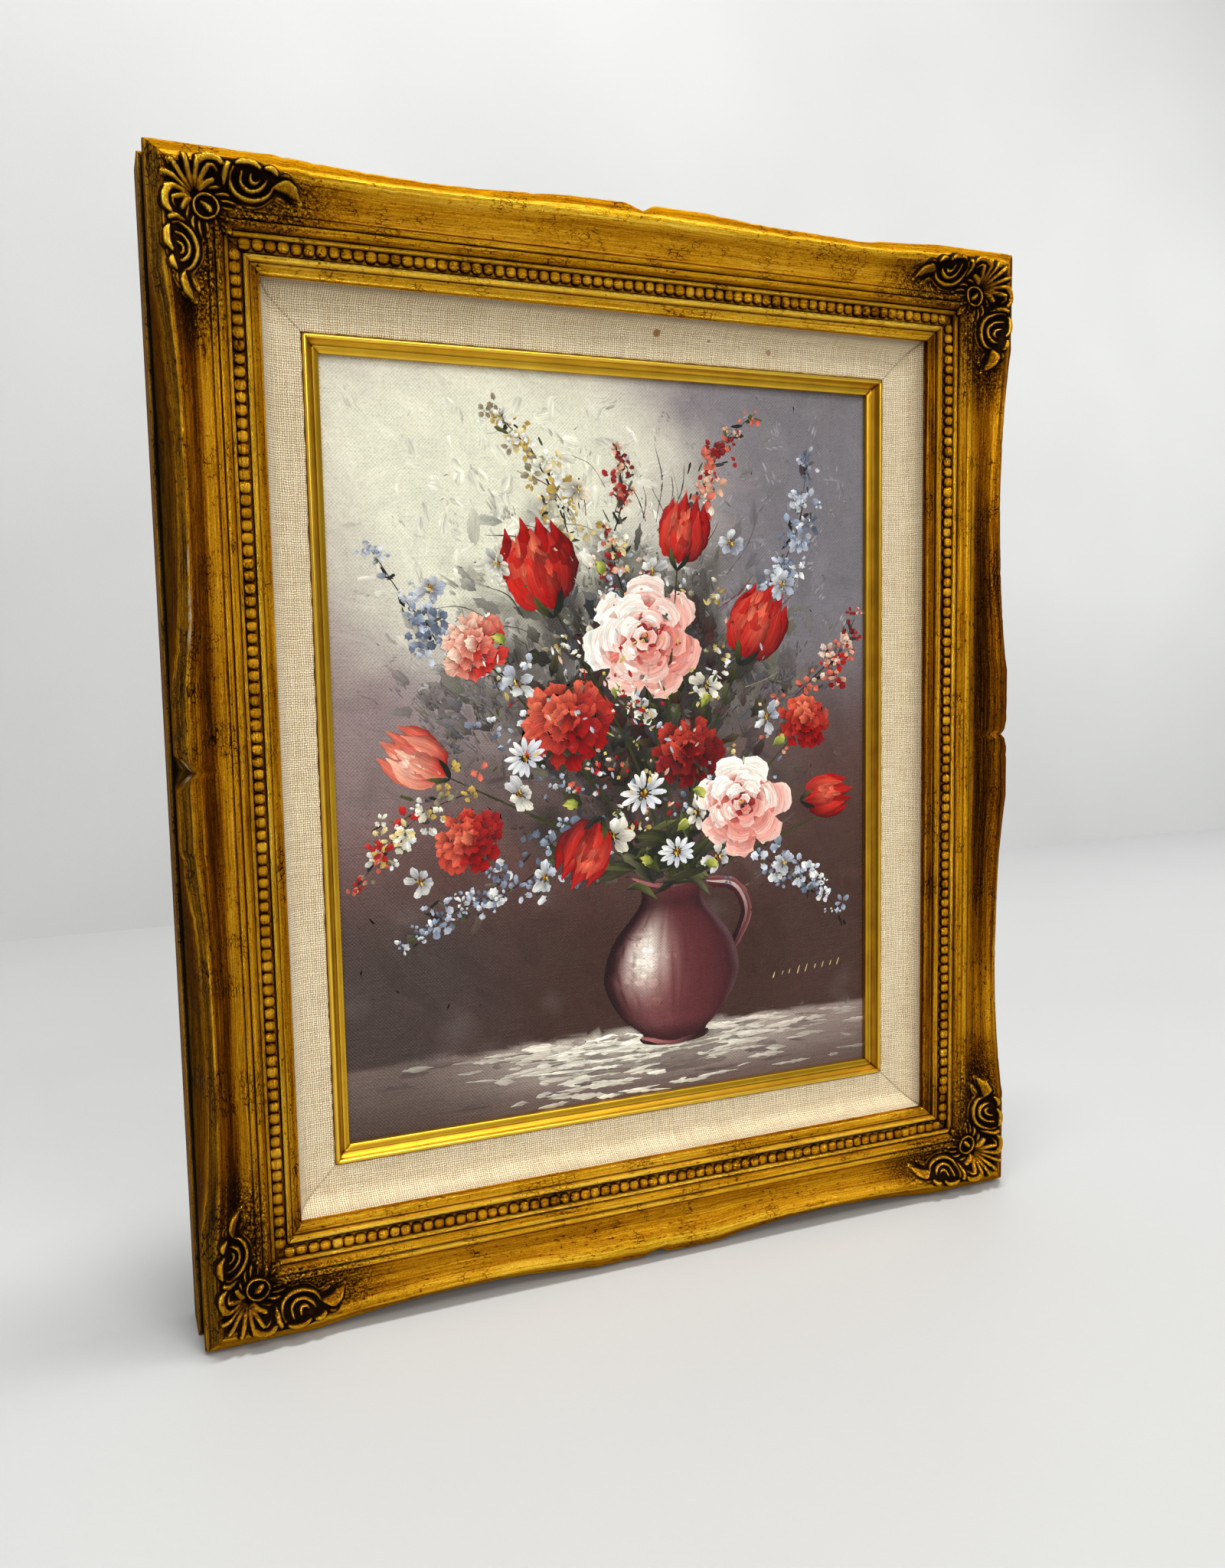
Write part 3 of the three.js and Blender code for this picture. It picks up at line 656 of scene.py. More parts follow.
def corner_strokes():
    strokes = []
    for item in ARM:
        points = [(p, ARM_MIDDLE + (q - ARM_MIDDLE) * ARM_NARROW) for p, q in item["points"]]
        strokes.append(dict(item, points=points))
        strokes.append(dict(item, points=[(q, p) for p, q in points], tilt=-item["tilt"]))
    for k, length in enumerate(FAN):
        a = math.radians(45 + 24 * (k - 4))
        c, n = -math.cos(a), -math.sin(a)
        side = 0.5 * (k - 4) / 4
        middle = (FAN_FROM + c * length * 0.55 + n * side, FAN_FROM + n * length * 0.55 - c * side)
        strokes.append(stroke([(FAN_FROM + 1.3 * c, FAN_FROM + 1.3 * n), middle,
                               (FAN_FROM + c * length, FAN_FROM + n * length)], 0.9, 1.85, (0.3, 0.8)))
    ring = [(RING + 3.2 * math.cos(t), RING + 3.2 * math.sin(t)) for t in np.linspace(0.9, 7.0, 12)]
    return strokes + [
        stroke(ring, 0.6, 1.8, (0.8, 0.8), True),
        stroke([(RING - 1.3, RING - 1.3), (RING, RING + 0.2), (RING + 1.0, RING + 1.0)], 1.05, 1.8,
               (0.3, 0.8), tilt=0.4),
        stroke([(RING + 3.6, RING + 3.6), (RING + 6.0, RING + 6.0)], 0.75, 1.0, (0.6, 0.1), True),
        stroke([(13.2, 13.2), (18.2, 18.2)], 4.7, 0.2, (1, 1))]


def ornament_relief(p, q):
    """Relief above the bed, distance outside the nearest stroke, and where a round lobe is on top."""
    relief, outside = np.zeros(p.shape), np.full(p.shape, 99.0)
    carve, lobe = np.zeros(p.shape), np.zeros(p.shape)
    for item in corner_strokes():
        line = through(item["points"], 10 * len(item["points"]))
        t = np.linspace(0, 1, len(line))
        a, b = item["tip"]
        full = np.clip(np.minimum(a + (1 - a) * t / 0.35, b + (1 - b) * (1 - t) / 0.35), 0, 1)
        low, high = line.min(0) - 6, line.max(0) + 6
        near = (p > low[0]) & (p < high[0]) & (q > low[1]) & (q < high[1])
        away_p, away_q = p[near][:, None] - line[None, :, 0], q[near][:, None] - line[None, :, 1]
        d = np.hypot(away_p, away_q)
        width = item["width"] * full * SWELL
        k = np.argmin(d - width[None, :], 1)
        pick = np.arange(len(k))
        heading = np.gradient(line, axis=0)
        heading /= np.hypot(heading[:, 0], heading[:, 1])[:, None] + 1e-9
        lateral = away_p[pick, k] * heading[k, 1] - away_q[pick, k] * heading[k, 0]
        d, w, h = d[pick, k], width[k], LIFT * item["height"] * (0.3 + 0.7 * full[k])
        r = np.clip(d / w, 0, 1)
        form = (1 - r) ** 0.9 if item["sharp"] else np.sqrt(1 - r * r)
        form = form * (1 + item["tilt"] * np.clip(lateral / w, -1, 1))
        on_top = (h * form > relief[near]) & (item["height"] > 0.5)
        lobe[near] = np.where(on_top, 0.0 if item["sharp"] else 1.0, lobe[near])
        relief[near] = np.maximum(relief[near], h * form)
        outside[near] = np.minimum(outside[near], d - w)
        if item["groove"]:
            carve[near] = np.maximum(carve[near], item["groove"] * np.clip(1 - d / 0.45, 0, 1))
    return relief - carve, outside, lobe


def bed_height(across):
    bevel = CREST_END[1] - (across - CREST_END[0]) * 3.5 / 4.3
    return np.minimum(face_height(across), np.where(across > CREST_END[0], bevel, 99.0))


def ornament_grid():
    """The casting's own form, the same at every corner."""
    span = np.arange(*ORNAMENT_SPAN, ORNAMENT_STEP)
    p, q = np.meshgrid(span, span, indexing="ij")
    relief, outside, lobe = ornament_relief(p, q)
    ground = 0.75 * smooth(0.8, 0.1, outside)
    body = np.maximum(eased(relief, 2) + 0.3 * smooth(0.5, 0.0, outside), ground)
    return p, q, body - 0.5 * smooth(0.45, 0.85, outside), outside, eased(lobe, 2)


def corner_ornament(corner, grid, material):
    degrees, right, up, bright, cap = CORNERS[corner]
    p, q, body, outside, lobe = grid
    n, seed = p.shape[0], abs(degrees) + 7
    x, y = CORNER_REACH - p, CORNER_REACH - q
    bed = bed_height(np.maximum(x, y))
    height = bed + body + 0.12 * layered(p, q, seed, 1.9) + 0.10 * layered(p, q, seed + 5, 0.9, 2)
    room = ORNAMENT_TOP - ORNAMENT_KNEE
    over = np.maximum(height - ORNAMENT_KNEE, 0)
    height = np.minimum(height, ORNAMENT_KNEE) + room * (1 - np.exp(-over / room))
    inside = outside < ORNAMENT_EDGE
    cell = inside[:-1, :-1] & inside[1:, :-1] & inside[1:, 1:] & inside[:-1, 1:]
    quads = grid_quads(n, n).reshape(n - 1, n - 1, 4)[cell]
    used = np.unique(quads)
    total = len(used)
    index = np.full(n * n, -1)
    index[used] = np.arange(total)
    quads = index[quads][:, ::-1]
    edges = np.vstack([quads[:, [k, (k + 1) % 4]] for k in range(4)])
    _, where, counts = np.unique(np.sort(edges, 1), axis=0, return_index=True, return_counts=True)
    rim = edges[where[counts == 1]]
    walls = np.stack([rim[:, 1], rim[:, 0], rim[:, 0] + total, rim[:, 1] + total], -1)
    hollow, broad = body - eased(body, 9), body - eased(body, 70)
    patch = 0.13 * layered(p, q, seed + 3, 3.2) + 0.11 * layered(p, q, seed + 4, 1.3, 2)
    tone = bright + 0.22 * smooth(1.5, 2.6, body) + 0.95 * hollow + 0.16 * broad + 1.1 * patch
    tone = tone + 0.30 * lobe * smooth(0.7, 1.6, body)
    none = 0 * body
    values = dict(tone=np.clip(tone, -0.1, cap), cav=np.clip(hollow / 0.4, -0.8, 1), chip=none, raw=none,
                  olive=none + 0.25, gloss=none + 0.8, stipple=smooth(0.9, 0.2, body) * 0.6)
    p, q, x, y, h, bed = [array.ravel()[used] for array in (p, q, x, y, height, bed)]
    x, y = turned(x, y, degrees)
    x, y = x + right * (HW + FRAME_INNER), y + up * (HH + FRAME_INNER)
    points = np.vstack([place(x, y, h), place(x, y, np.minimum(bed - 0.9, h - 0.1))])
    flow = np.stack([p, q, np.full(total, seed * 1.7)], -1)
    piece = mesh_piece(f"cast_corner_{corner}", points, [quads, quads[:, ::-1] + total, walls],
                       {k: np.tile(v.ravel()[used], 2) for k, v in values.items()},
                       {"flow": np.vstack([flow, flow])})
    finish_piece(piece, material, f"corner_ornament_{corner}")


# ------------------------------------------------------------------ liner and fillet

FILLET = ([(0.0, 5.8), (0.0, 6.6), (0.0, 7.5), (0.12, 7.72), (0.3, 7.82), (1.0, 8.02), (1.65, 8.2),
           (1.85, 8.2), (1.95, 8.05), (2.1, 8.1), (2.6, 8.38), (3.05, 8.8), (3.3, 9.3), (3.45, 9.6)]
          + bow(3.5, 10.0, 4.85, 10.0, 0.68, 9) + [(4.95, 9.7), (5.0, 9.2), (5.0, 5.8)])
LINER = ([(0.0, 5.8), (0.0, 7.5), (0.0, 9.7), (0.08, 9.86), (0.25, 9.93)]
         + [tuple(v) for v in through([(0.6, 9.97), (2.0, 10.08), (3.7, 10.2), (5.7, 10.36), (7.7, 10.6),
                                       (9.3, 11.4), (10.7, 13.2), (11.7, 15.2), (12.6, 16.5),
                                       (13.7, 16.72)], 34)]
         + [(17.8, 16.75), (17.8, 2.3), (1.7, 2.3), (1.7, 5.8)])
# How dark the painted shadow on the cloth is where it runs under the frame's lip, and the painted light and
# shade on each side's fillet.
UNDER_LIP_SHADOW = {"top": 3.2, "left": 2.2, "right": 1.8, "bottom": 1.2}
LIT = {"top": 0.08, "right": -0.10, "left": 0.04, "bottom": 0.04}
# Rust spots on the top length of linen: along it, round its section, radius and strength.
TOP_STAINS = [(12.8, 12.6, 1.6, 0.95), (54.6, 9.6, 1.1, 0.7), (32.0, 11.5, 0.6, 0.8)]
# From one thread to the next, in the linen and in the canvas under the paint.
THREAD_PITCH, CANVAS_PITCH = 0.69, 0.6


def moulding(name, side, profile, start, step, slot, material, node, wander, sharp):
    """A mitred length of a small moulding; `start` is its inner edge from the sight opening."""
    d = SIDES[side]
    inner, lip = d["other"] + start, d["half"] + start
    a, h = np.array(profile).T
    reach = lip + a.max()
    s = stations([reach], np.arange(0, reach - 0.5, step))
    rows = len(s)
    edge = wander * wobble(s, d["seed"] + 60, 1.7)[:, None] * (smooth(1.2, 0.0, a) * (h > h.min() + 1))
    across = a + edge
    along = mitred(s, across, lip, a.max(), lip - 2, 0.05)
    cav, girth = convexity(a, h, 0.3)
    height = h - 0.15 * smooth(reach - 1.0, reach, np.abs(s))[:, None] * (h > 7)
    flow = np.stack([along, np.tile(girth, (rows, 1)), np.full_like(along, d["seed"] * 2.3)], -1)
    seam_and_shadow = smooth(0.8, 0.1, lip + across - np.abs(along))
    if slot == "linen":
        # Painted shadow where the linen runs under the frame's lip, darkest on the top length.
        under_lip = FRAME_INNER - LINER_INNER
        seam_and_shadow = seam_and_shadow + UNDER_LIP_SHADOW[side] * smooth(under_lip - 1.5, under_lip - 0.1, a)
    # lit: painted light and shade, set for each side's fillet and darker on its low inner slope.
    values = dict(cav=np.tile(np.clip(cav / 0.1, -1, 1), (rows, 1)), seam_and_shadow=seam_and_shadow,
                  lit=np.tile(LIT[side] - 0.14 * smooth(3.4, 2.0, a), (rows, 1)))
    piece = mesh_piece(name, place(*turned(along, inner + across, d["turn"]), height), tube(rows, len(a)),
                       values, {"flow": flow.reshape(-1, 3)})
    finish_piece(piece, material, node, sharp)


def linen_cloth():
    """Plain weave with slubs and loose tension, darker at its mitres and with a painted shadow under the
    frame's lip, with a few rust spots.
    """
    s = Shader("natural_linen")
    flow, (seam_and_shadow,) = s.vector("flow"), s.values("seam_and_shadow")
    drift = s.node("TexNoise", {"Vector": flow, "Scale": 0.35, "Detail": 2.0}, "Color")
    drift = s.vector_maths("MULTIPLY", drift, (0.9, 0.9, 0.0))
    over, under = s.threads(s.vector_maths("ADD", flow, drift), THREAD_PITCH)
    crossing = s.span(s.maths("SIGN", over * under), -1.0, 1.0)
    slub_a = s.noise(flow, stretch=(0.10, 2.0))
    slub_b = s.noise(flow, stretch=(2.0, 0.10))
    top_a = s.maths("POWER", s.maths("ABSOLUTE", under), 0.7) * s.span(crossing, 0.0, 1.0, 0.55, 1.0)
    top_b = s.maths("POWER", s.maths("ABSOLUTE", over), 0.7) * s.span(crossing, 0.0, 1.0, 1.0, 0.55)
    weave = s.maths("MAXIMUM", top_a * s.span(slub_a, 0.25, 0.75, 0.72, 1.1),
                    top_b * s.span(slub_b, 0.25, 0.75, 0.72, 1.1))
    colour = s.ramp(weave, (0.42, 0.22, 0.135, 0.065), (0.66, 0.74, 0.565, 0.33), (0.93, 1.0, 0.90, 0.64))
    yellowed = s.ramp(s.noise(flow, 0.05), (0.3, 0.93, 0.91, 0.87), (0.7, 1.0, 1.0, 1.0))
    colour = s.mix(0.75, colour, yellowed, "MULTIPLY")
    slubs = s.maths("MAXIMUM", s.span(slub_a, 0.66, 0.76), s.span(slub_b, 0.68, 0.78))
    colour = s.mix(slubs * 0.45, colour, (0.95, 0.84, 0.60))
    rust = s.span(s.cells(flow, 0.055), 0.05, 0.02) * s.span(s.noise(flow, 0.03, 1.0), 0.5, 0.6)
    colour = s.mix(rust * 0.6, colour, (0.20, 0.09, 0.02))
    ragged = s.noise(flow, 1.1, 2.0) * 0.9 - 0.45
    for along, girth, radius, share in TOP_STAINS:
        spot = (along, girth, SIDES["top"]["seed"] * 2.3)
        far = s.vector_maths("DISTANCE", flow, spot, "Value") + ragged
        colour = s.mix(s.span(far, radius, radius * 0.6) * share, colour, (0.30, 0.115, 0.012))
    # Darker at the mitres, and the painted shadow under the frame's lip.
    colour = s.mix(seam_and_shadow * 0.22, colour, (0.20, 0.13, 0.06))
    s.set(Base_Color=colour, Normal=s.bump(slubs * 0.35 + weave, 0.9, 0.00025), Roughness=0.92,
          Sheen_Weight=0.25, Sheen_Roughness=0.6)
    return s.material


def fillet_gold():
    """Satin gold drawn along the moulding, blotched and finely speckled, with painted light and shade side
    by side.
    """
    s = Shader("satin_fillet_gold")
    flow, (cav, seam_and_shadow, lit) = s.vector("flow"), s.values("cav", "seam_and_shadow", "lit")
    drawn = s.noise(flow, 1.0, 4.0, stretch=(0.05, 2.4))
    blotch = s.noise(flow, 0.12)
    specks = s.span(s.cells(flow, 0.5), 0.07, 0.04) * s.span(blotch, 0.5, 0.62, 0.0, 0.4)
    # Painted light and shade come in with lit; the mitres are darkened.
    tone = drawn * 0.22 + blotch * 0.26 + 0.40 + lit + cav * 0.20 - seam_and_shadow * 0.25 - specks
    colour = s.ramp(tone, (0.1, 0.05, 0.018, 0.002), (0.35, 0.30, 0.135, 0.007),
                    (0.62, 0.66, 0.37, 0.020), (0.95, 0.95, 0.64, 0.07))
    s.set(Base_Color=colour, Metallic=0.95, Roughness=s.span(tone, 0.2, 0.8, 0.45, 0.3),
          Normal=s.bump(drawn, 0.3, 0.00006))
    return s.material


# ------------------------------------------------------------------ the oil painting

def tint(*rgb):
    """A colour given as 0-255 display values, made linear."""
    c = np.array(rgb, float) / 255
    return np.where(c <= 0.04045, c / 12.92, ((c + 0.055) / 1.055) ** 2.4)


def mixed(a, b, share):
    share = np.asarray(share)[..., None]
    return a * (1 - share) + b * share


def gradient(start, end, left=None, right=None, turn=0.8):
    """Colour from start to end of the stroke, towards `left` and `right` at its sides."""
    def at(t, v, x, y):
        c = mixed(start, end, smooth(0.05, 0.9, t))
        if left is not None:
            c = mixed(c, left, turn * smooth(0.1, 1.0, v))
        if right is not None:
            c = mixed(c, right, turn * smooth(0.1, 1.0, -v))
        return c
    return at


def ahead(x, y, angle, length):
    return x + length * math.cos(angle), y + length * math.sin(angle)


class Paint:
    """Brush strokes laid one over another; each is a low closed mound on the paint below it.

    STEP is a cell of the height map, LIMIT the height towards which new strokes grow thinner, MARGIN
    the bare strip at the panel's edge and HIGHEST the most that the paint may stand up.
    """
    STEP, LIMIT, MARGIN, HIGHEST = 0.5, 1.3, 0.3, 2.2

    def __init__(self, material):
        self.material = material
        self.relief = np.zeros((int(PANEL_W / self.STEP) + 3, int(PANEL_H / self.STEP) + 3))
        self.clear()

    def clear(self):
        self.points, self.pigment, self.stroke, self.quads, self.rings = [], [], [], [], {}
        self.total, self.thin = 0, []

    def cell(self, x, y):
        """Which cell of the height map each point lies in."""
        i, j = [((v + size / 2) / self.STEP + 1).astype(int) for v, size in ((x, PANEL_W), (y, PANEL_H))]
        n, m = self.relief.shape
        return np.clip(i, 0, n - 1), np.clip(j, 0, m - 1)

    def under(self, x, y):
        """The highest paint at each point or one step away from it."""
        best = self.relief[self.cell(x, y)]
        for k in range(8):
            best = np.maximum(best, self.relief[self.cell(*ahead(x, y, k * math.pi / 4, self.STEP))])
        return best

    def record(self, x, y, z, shares):
        """Note the height of new paint for whatever comes next."""
        for i in shares:
            for j in shares:
                where = self.cell(between(x, i, j), between(y, i, j))
                np.maximum.at(self.relief, where, between(z, i, j))

    def add(self, x, y, z, colour, along, across, seed, thin):
        """Keep a grid of points as a closed mound: its upper face, and one flat face under it."""
        ring = border(*x.shape) + self.total
        self.points.append(np.stack([x, y, z], -1).reshape(-1, 3))
        self.pigment.append(colour.reshape(-1, 3))
        self.stroke.append(np.stack([along, across, np.full(x.shape, seed * 0.37 % 97)], -1).reshape(-1, 3))
        self.thin.append(np.full(x.size, thin))
        self.quads.append(grid_quads(*x.shape, self.total)[:, ::-1])
        self.rings.setdefault(len(ring), []).append(ring)
        self.total += x.size

    def coat(self, x, y, colours, inside, thick, seed, thin, reach=5):
        """A whole area blended in one coat, level over the highest spots under it."""
        i, j = np.indices(self.relief.shape)
        here = inside((i - 1) * self.STEP - PANEL_W / 2, (j - 1) * self.STEP - PANEL_H / 2)
        level = self.relief
        for _ in range(reach):
            level = np.maximum.reduce([level, *neighbours(level)])
        self.relief = np.where(here, np.maximum(self.relief, eased(level, 3 * reach)), self.relief)
        inner = np.pad(np.full((x.shape[0] - 2, x.shape[1] - 2), True), 1)
        z = np.where(inner, self.under(x, y) + thick, -0.03)
        self.add(x, y, z, colours(x, y), y, x, seed, thin)
        self.record(x, y, z, (0, 0.5))

    def lay(self, path, half, colours, thick, seed, columns=5, ends=(0.6, 0.5), ragged=0.12, streak=0.1,
            blend=None, lip=0.35, rows=None, thin=0.0):
        """One stroke. `colours` is its colour at start and end, or a function of (t, v, x, y):
        t runs along the stroke from 0 to 1 and v across it from -1 to 1.
        """
        if isinstance(colours, tuple):
            colours = gradient(*colours)
        r = np.random.default_rng(seed)
        path = np.array(path, float)
        length = np.hypot(*np.diff(path, axis=0).T).sum()
        rows = rows or int(np.clip(length / 1.4, 4, 16)) + 1
        line = through(path, rows) if len(path) > 2 else np.linspace(path[0], path[1], rows)
        t = np.linspace(0, 1, rows)
        along = np.gradient(line, axis=0)
        along /= np.linalg.norm(along, axis=1)[:, None] + 1e-9
        normal = np.stack([-along[:, 1], along[:, 0]], -1)
        a, b = [np.clip(end + (1 - end) * np.sin(np.clip(share / 0.4, 0, 1) * np.pi / 2), 0, 1)
                for end, share in zip(ends, (t, 1 - t))]
        width = half * a * b * (1 + ragged * r.uniform(-1, 1, rows))
        v = np.linspace(-1, 1, columns)
        v = np.sign(v) * np.abs(v) ** 0.85
        # The ends are drawn out at the sides, and ragged.
        shift = (np.clip(1 - 4 * t, 0, 1) - np.clip(4 * t - 3, 0, 1))[:, None] * v ** 2 * half * 0.7
        tip = ((t < 0.01) | (t > 0.99))[:, None]
        shift = shift + ragged * half * 0.9 * r.uniform(-1, 1, columns) * tip
        xy = (line[:, None] + normal[:, None] * (v[:, None] * width[:, None, None])
              + along[:, None] * shift[..., None])
        x, y = [np.clip(xy[..., k], self.MARGIN - size / 2, size / 2 - self.MARGIN)
                for k, size in enumerate((PANEL_W, PANEL_H))]
        bristles = r.uniform(-1, 1, columns)
        body = 0.62 + lip * np.abs(v) ** 3 + 0.22 * bristles
        body = body * (0.75 + 0.5 * smooth(0.6, 0.95, t) * (lip > 0.2))[:, None]
        base = self.under(x, y)
        thick = thick * np.clip(1.1 - base / self.LIMIT, 0.14, 1)
        inner = np.pad(np.full((rows - 2, columns - 2), True), 1)
        z = np.where(inner, base + thick * np.clip(body, 0.3, 2), base - 0.015)
        t, v = np.broadcast_arrays(t[:, None], v)
        shade = 1 + streak * bristles * (0.7 + 0.3 * np.cos(3 * t + seed % 7))
        colour = np.clip(colours(t, v, x, y) * shade[..., None], 0.0015, 0.97)
        if blend:
            fade = smooth(0, 0.35, np.minimum(t, 1 - t)) * smooth(1.0, 0.35, np.abs(v))
            colour = mixed(blend(x, y), colour, fade)
        self.add(x, y, z, colour, t * length, v * width[:, None], seed, thin)
        fine = max(2, int(2.2 * half * 2 / (columns - 1)))
        self.record(x, y, np.where(inner, z, base), np.linspace(0, 1, fine, endpoint=False))

    def piece(self, name):
        """Everything laid since the last piece becomes one."""
        points, pigment, stroke = [np.vstack(v) for v in (self.points, self.pigment, self.stroke)]
        x, y, z = points.T
        piece = mesh_piece(name, place(x, y, PANEL_BACK + PANEL_T + np.minimum(z, self.HIGHEST)),
                           [np.vstack(self.quads)] + [np.array(v) for v in self.rings.values()],
                           {"thin": np.concatenate(self.thin)},
                           {"stroke": stroke, "canvas": np.stack([x, y, 0 * x], -1)}, {"pigment": pigment})
        finish_piece(piece, self.material, "canvas_panel", 70)
        self.clear()


CREAM, PALE, LILAC = tint(232, 229, 206), tint(210, 203, 188) * 0.94, tint(158, 146, 146)
SLATE, MAUVE, DUSK = tint(122, 117, 122), tint(98, 67, 62), tint(66, 42, 36)
TABLE_FAR, TABLE_NEAR, STREAK = tint(158, 138, 130), tint(104, 86, 82), tint(240, 234, 214)
TABLE_EDGE = -98.0


def backdrop(x, y):
    """The background's broad areas: glow upper left, lilac and slate right, dusk below, pale table."""
    x, y = np.asarray(x, float), np.asarray(y, float)
    n, m = 0.5 * layered(x, y, 301, 42), layered(x, y, 305, 18)
    c = mixed(LILAC, SLATE, smooth(-10, 70, x + 14 * m))
    c = mixed(c, MAUVE, smooth(42, -28, y + 14 * n - 0.10 * x))
    c = mixed(c, DUSK, smooth(-8, -72, y + 10 * m - 0.12 * x))
    c = mixed(c, tint(146, 124, 122), 0.75 * smooth(-52, -94, x + 8 * n) * smooth(-70, 20, y))
    c = mixed(c, tint(70, 63, 60), 0.60 * smooth(-10, -80, x + 12 * m) * smooth(-24, -66, y + 10 * n))
    c = mixed(c, tint(78, 56, 50), 0.5 * smooth(36, 76, x + 10 * m) * smooth(34, 4, y + 10 * n))
    glow = np.hypot((x + 44) / 78, (y - 84) / 64) + 0.24 * n + 0.14 * m
    c = mixed(mixed(c, PALE, smooth(1.16, 0.72, glow)), CREAM, smooth(0.88, 0.42, glow))
    c = mixed(c, tint(104, 92, 88), 0.45 * smooth(0.3, 0.8, m) * smooth(40, 0, y))
    # A ragged halo of shade behind the flowers.
    turn = np.arctan2(y + 46, x - 10)
    rays = wobble(turn * 9, 311, 1.0) + 0.6 * wobble(turn * 23, 312, 1.0)
    far = np.hypot((x - 4) / 58, (y - 14) / 56) + 0.30 * m + 0.16 * (rays + layered(x, y, 313, 7))
    far = far + 0.8 * smooth(-40, -56, y)
    halo = mixed(tint(112, 106, 98), tint(84, 70, 66), smooth(40, -30, y))
    c = mixed(c, halo, 0.62 * smooth(1.22, 0.85, far))
    c = mixed(c, tint(44, 36, 32), 0.90 * smooth(0.98, 0.50, far))
    table = mixed(TABLE_FAR, TABLE_NEAR, smooth(TABLE_EDGE, -121, y))
    table = mixed(table, STREAK, 0.5 * np.exp(-((x - 8) / 46) ** 2) * smooth(-118, -104, y))
    table = mixed(table, tint(62, 48, 44), 0.7 * smooth(24, 92, 8 - x) + 0.2 * smooth(40, 95, x))
    return mixed(c, table, smooth(-0.5, 0.5, TABLE_EDGE + 0.8 * wobble(x, 309, 9) - y))


def ground_strokes(paint):
    """The blended background, the knife and dry-brush work on it and the streaks on the table."""
    r = np.random.default_rng(71)
    spots = [(x, y) for x in np.arange(-98, 99, 10.5) for y in np.arange(-121, 124, 10.5)]
    r.shuffle(spots)
    for k, (x, y) in enumerate(spots):
        x, y = x + r.uniform(-4, 4), y + r.uniform(-4, 4)
        flat = y < TABLE_EDGE + 4
        a = r.normal(0, 0.06) if flat else r.normal(-0.7, 0.7)
        half, length = r.uniform(2.6, 4.6) * (0.6 if flat else 1), r.uniform(13, 24)
        bend = ahead(x, y, a + math.pi / 2, r.uniform(-2, 2) / 2)
        calm = 0.4 if y > 30 and x < 10 else 1.0
        lift, hue = r.normal(0, 0.06) * calm, r.normal(0, 0.012, 3) * calm
        paint.lay([ahead(x, y, a, -length / 2), bend, ahead(x, y, a, length / 2)], half,
                  lambda t, v, px, py: backdrop(px, py) * (1 + lift + hue), 0.03, 1000 + k,
                  blend=backdrop, streak=0.05, thin=0.85, rows=9)
    # Knife dabs of cream, white and grey-lilac in the glow, thinning away from it.
    for k in range(300):
        x, y = r.normal(-22, 26), r.normal(62, 26)
        if np.hypot((x + 30) / 62, (y - 62) / 52) > 1 or y > 116:
            continue
        a, length = r.normal(-0.6, 0.9), r.uniform(2.5, 8)
        near = backdrop(x, y)
        white = tint(246, 243, 228) if r.random() < 0.5 else tint(196, 190, 182)
        main = mixed(near, white, r.uniform(0.35, 0.9))
        bend = x + r.normal(0, 0.12) * length, y + r.normal(0, 0.12) * length
        paint.lay([ahead(x, y, a, -length / 2), bend, ahead(x, y, a, length / 2)], r.uniform(0.5, 1.9),
                  (main, near), r.uniform(0.12, 0.36), 2000 + k, ragged=0.35, streak=0.07, lip=0.9)
    # Dry strokes of lilac and white, right of the glow.
    for k in range(150):
        x, y, a = r.uniform(0, 90), r.uniform(40, 112), r.normal(0.5, 0.7)
        near = backdrop(x, y)
        pale = tint(206, 200, 204) if r.random() < 0.6 else tint(104, 98, 112)
        main = mixed(near, pale, r.uniform(0.12, 0.4))
        dry(paint, x, y, a, r.uniform(4, 10), r.uniform(1, 3), main, near, 2400 + 7 * k, r)
    # Level streaks of light and a few of shade on the table.
    for k in range(380):
        y = TABLE_EDGE - 1.0 - abs(r.normal(0, 8.0))
        x = r.normal(8, 32)
        if y < -120 or abs(x) > 98:
            continue
        near = backdrop(x, y)
        light = r.random() < 0.78
        share = (0.25 + 0.75 * math.exp(-((x - 4) / 48) ** 2)) * r.uniform(0.75, 1)
        main = mixed(near, STREAK if k % 3 == 0 else tint(248, 244, 226), share)
        if not light:
            main = mixed(near, tint(74, 60, 58), 0.6)
        reach, drift = r.uniform(4, 20) / 2, r.normal(0, 0.35)
        paint.lay([(x - reach, y - drift), (x, y + r.normal(0, 0.2)), (x + reach, y + drift)],
                  r.uniform(0.3, 1.0), (main, mixed(main, near, 0.35)), r.uniform(0.08, 0.26), 3400 + k, 4,
                  ends=(0.3, 0.1), ragged=0.45, lip=0.5)


def dry(paint, x, y, angle, length, width, main, near, seed, r):
    """A dry-brushed touch: a few broken bristle tracks side by side."""
    count = int(np.clip(width / 0.55, 2, 6))
    for k in range(count):
        off = (k - (count - 1) / 2) * width / count * 1.3 + r.normal(0, 0.15)
        a, b = np.sort(r.uniform(-0.5, 0.5, 2)) * length
        beside = ahead(x, y, angle + math.pi / 2, off)
        paint.lay([ahead(*beside, angle, a), ahead(*beside, angle, max(b, a + 0.25 * length))],
                  r.uniform(0.2, 0.5), (main, mixed(main, near, 0.5)), 0.07, seed + k, 3,
                  ends=(0.6, 0.15), ragged=0.45, rows=4, thin=0.2)


def palette(*tints):
    return dict(zip(("deep", "mid", "light", "high"), [tint(*rgb) for rgb in tints]))


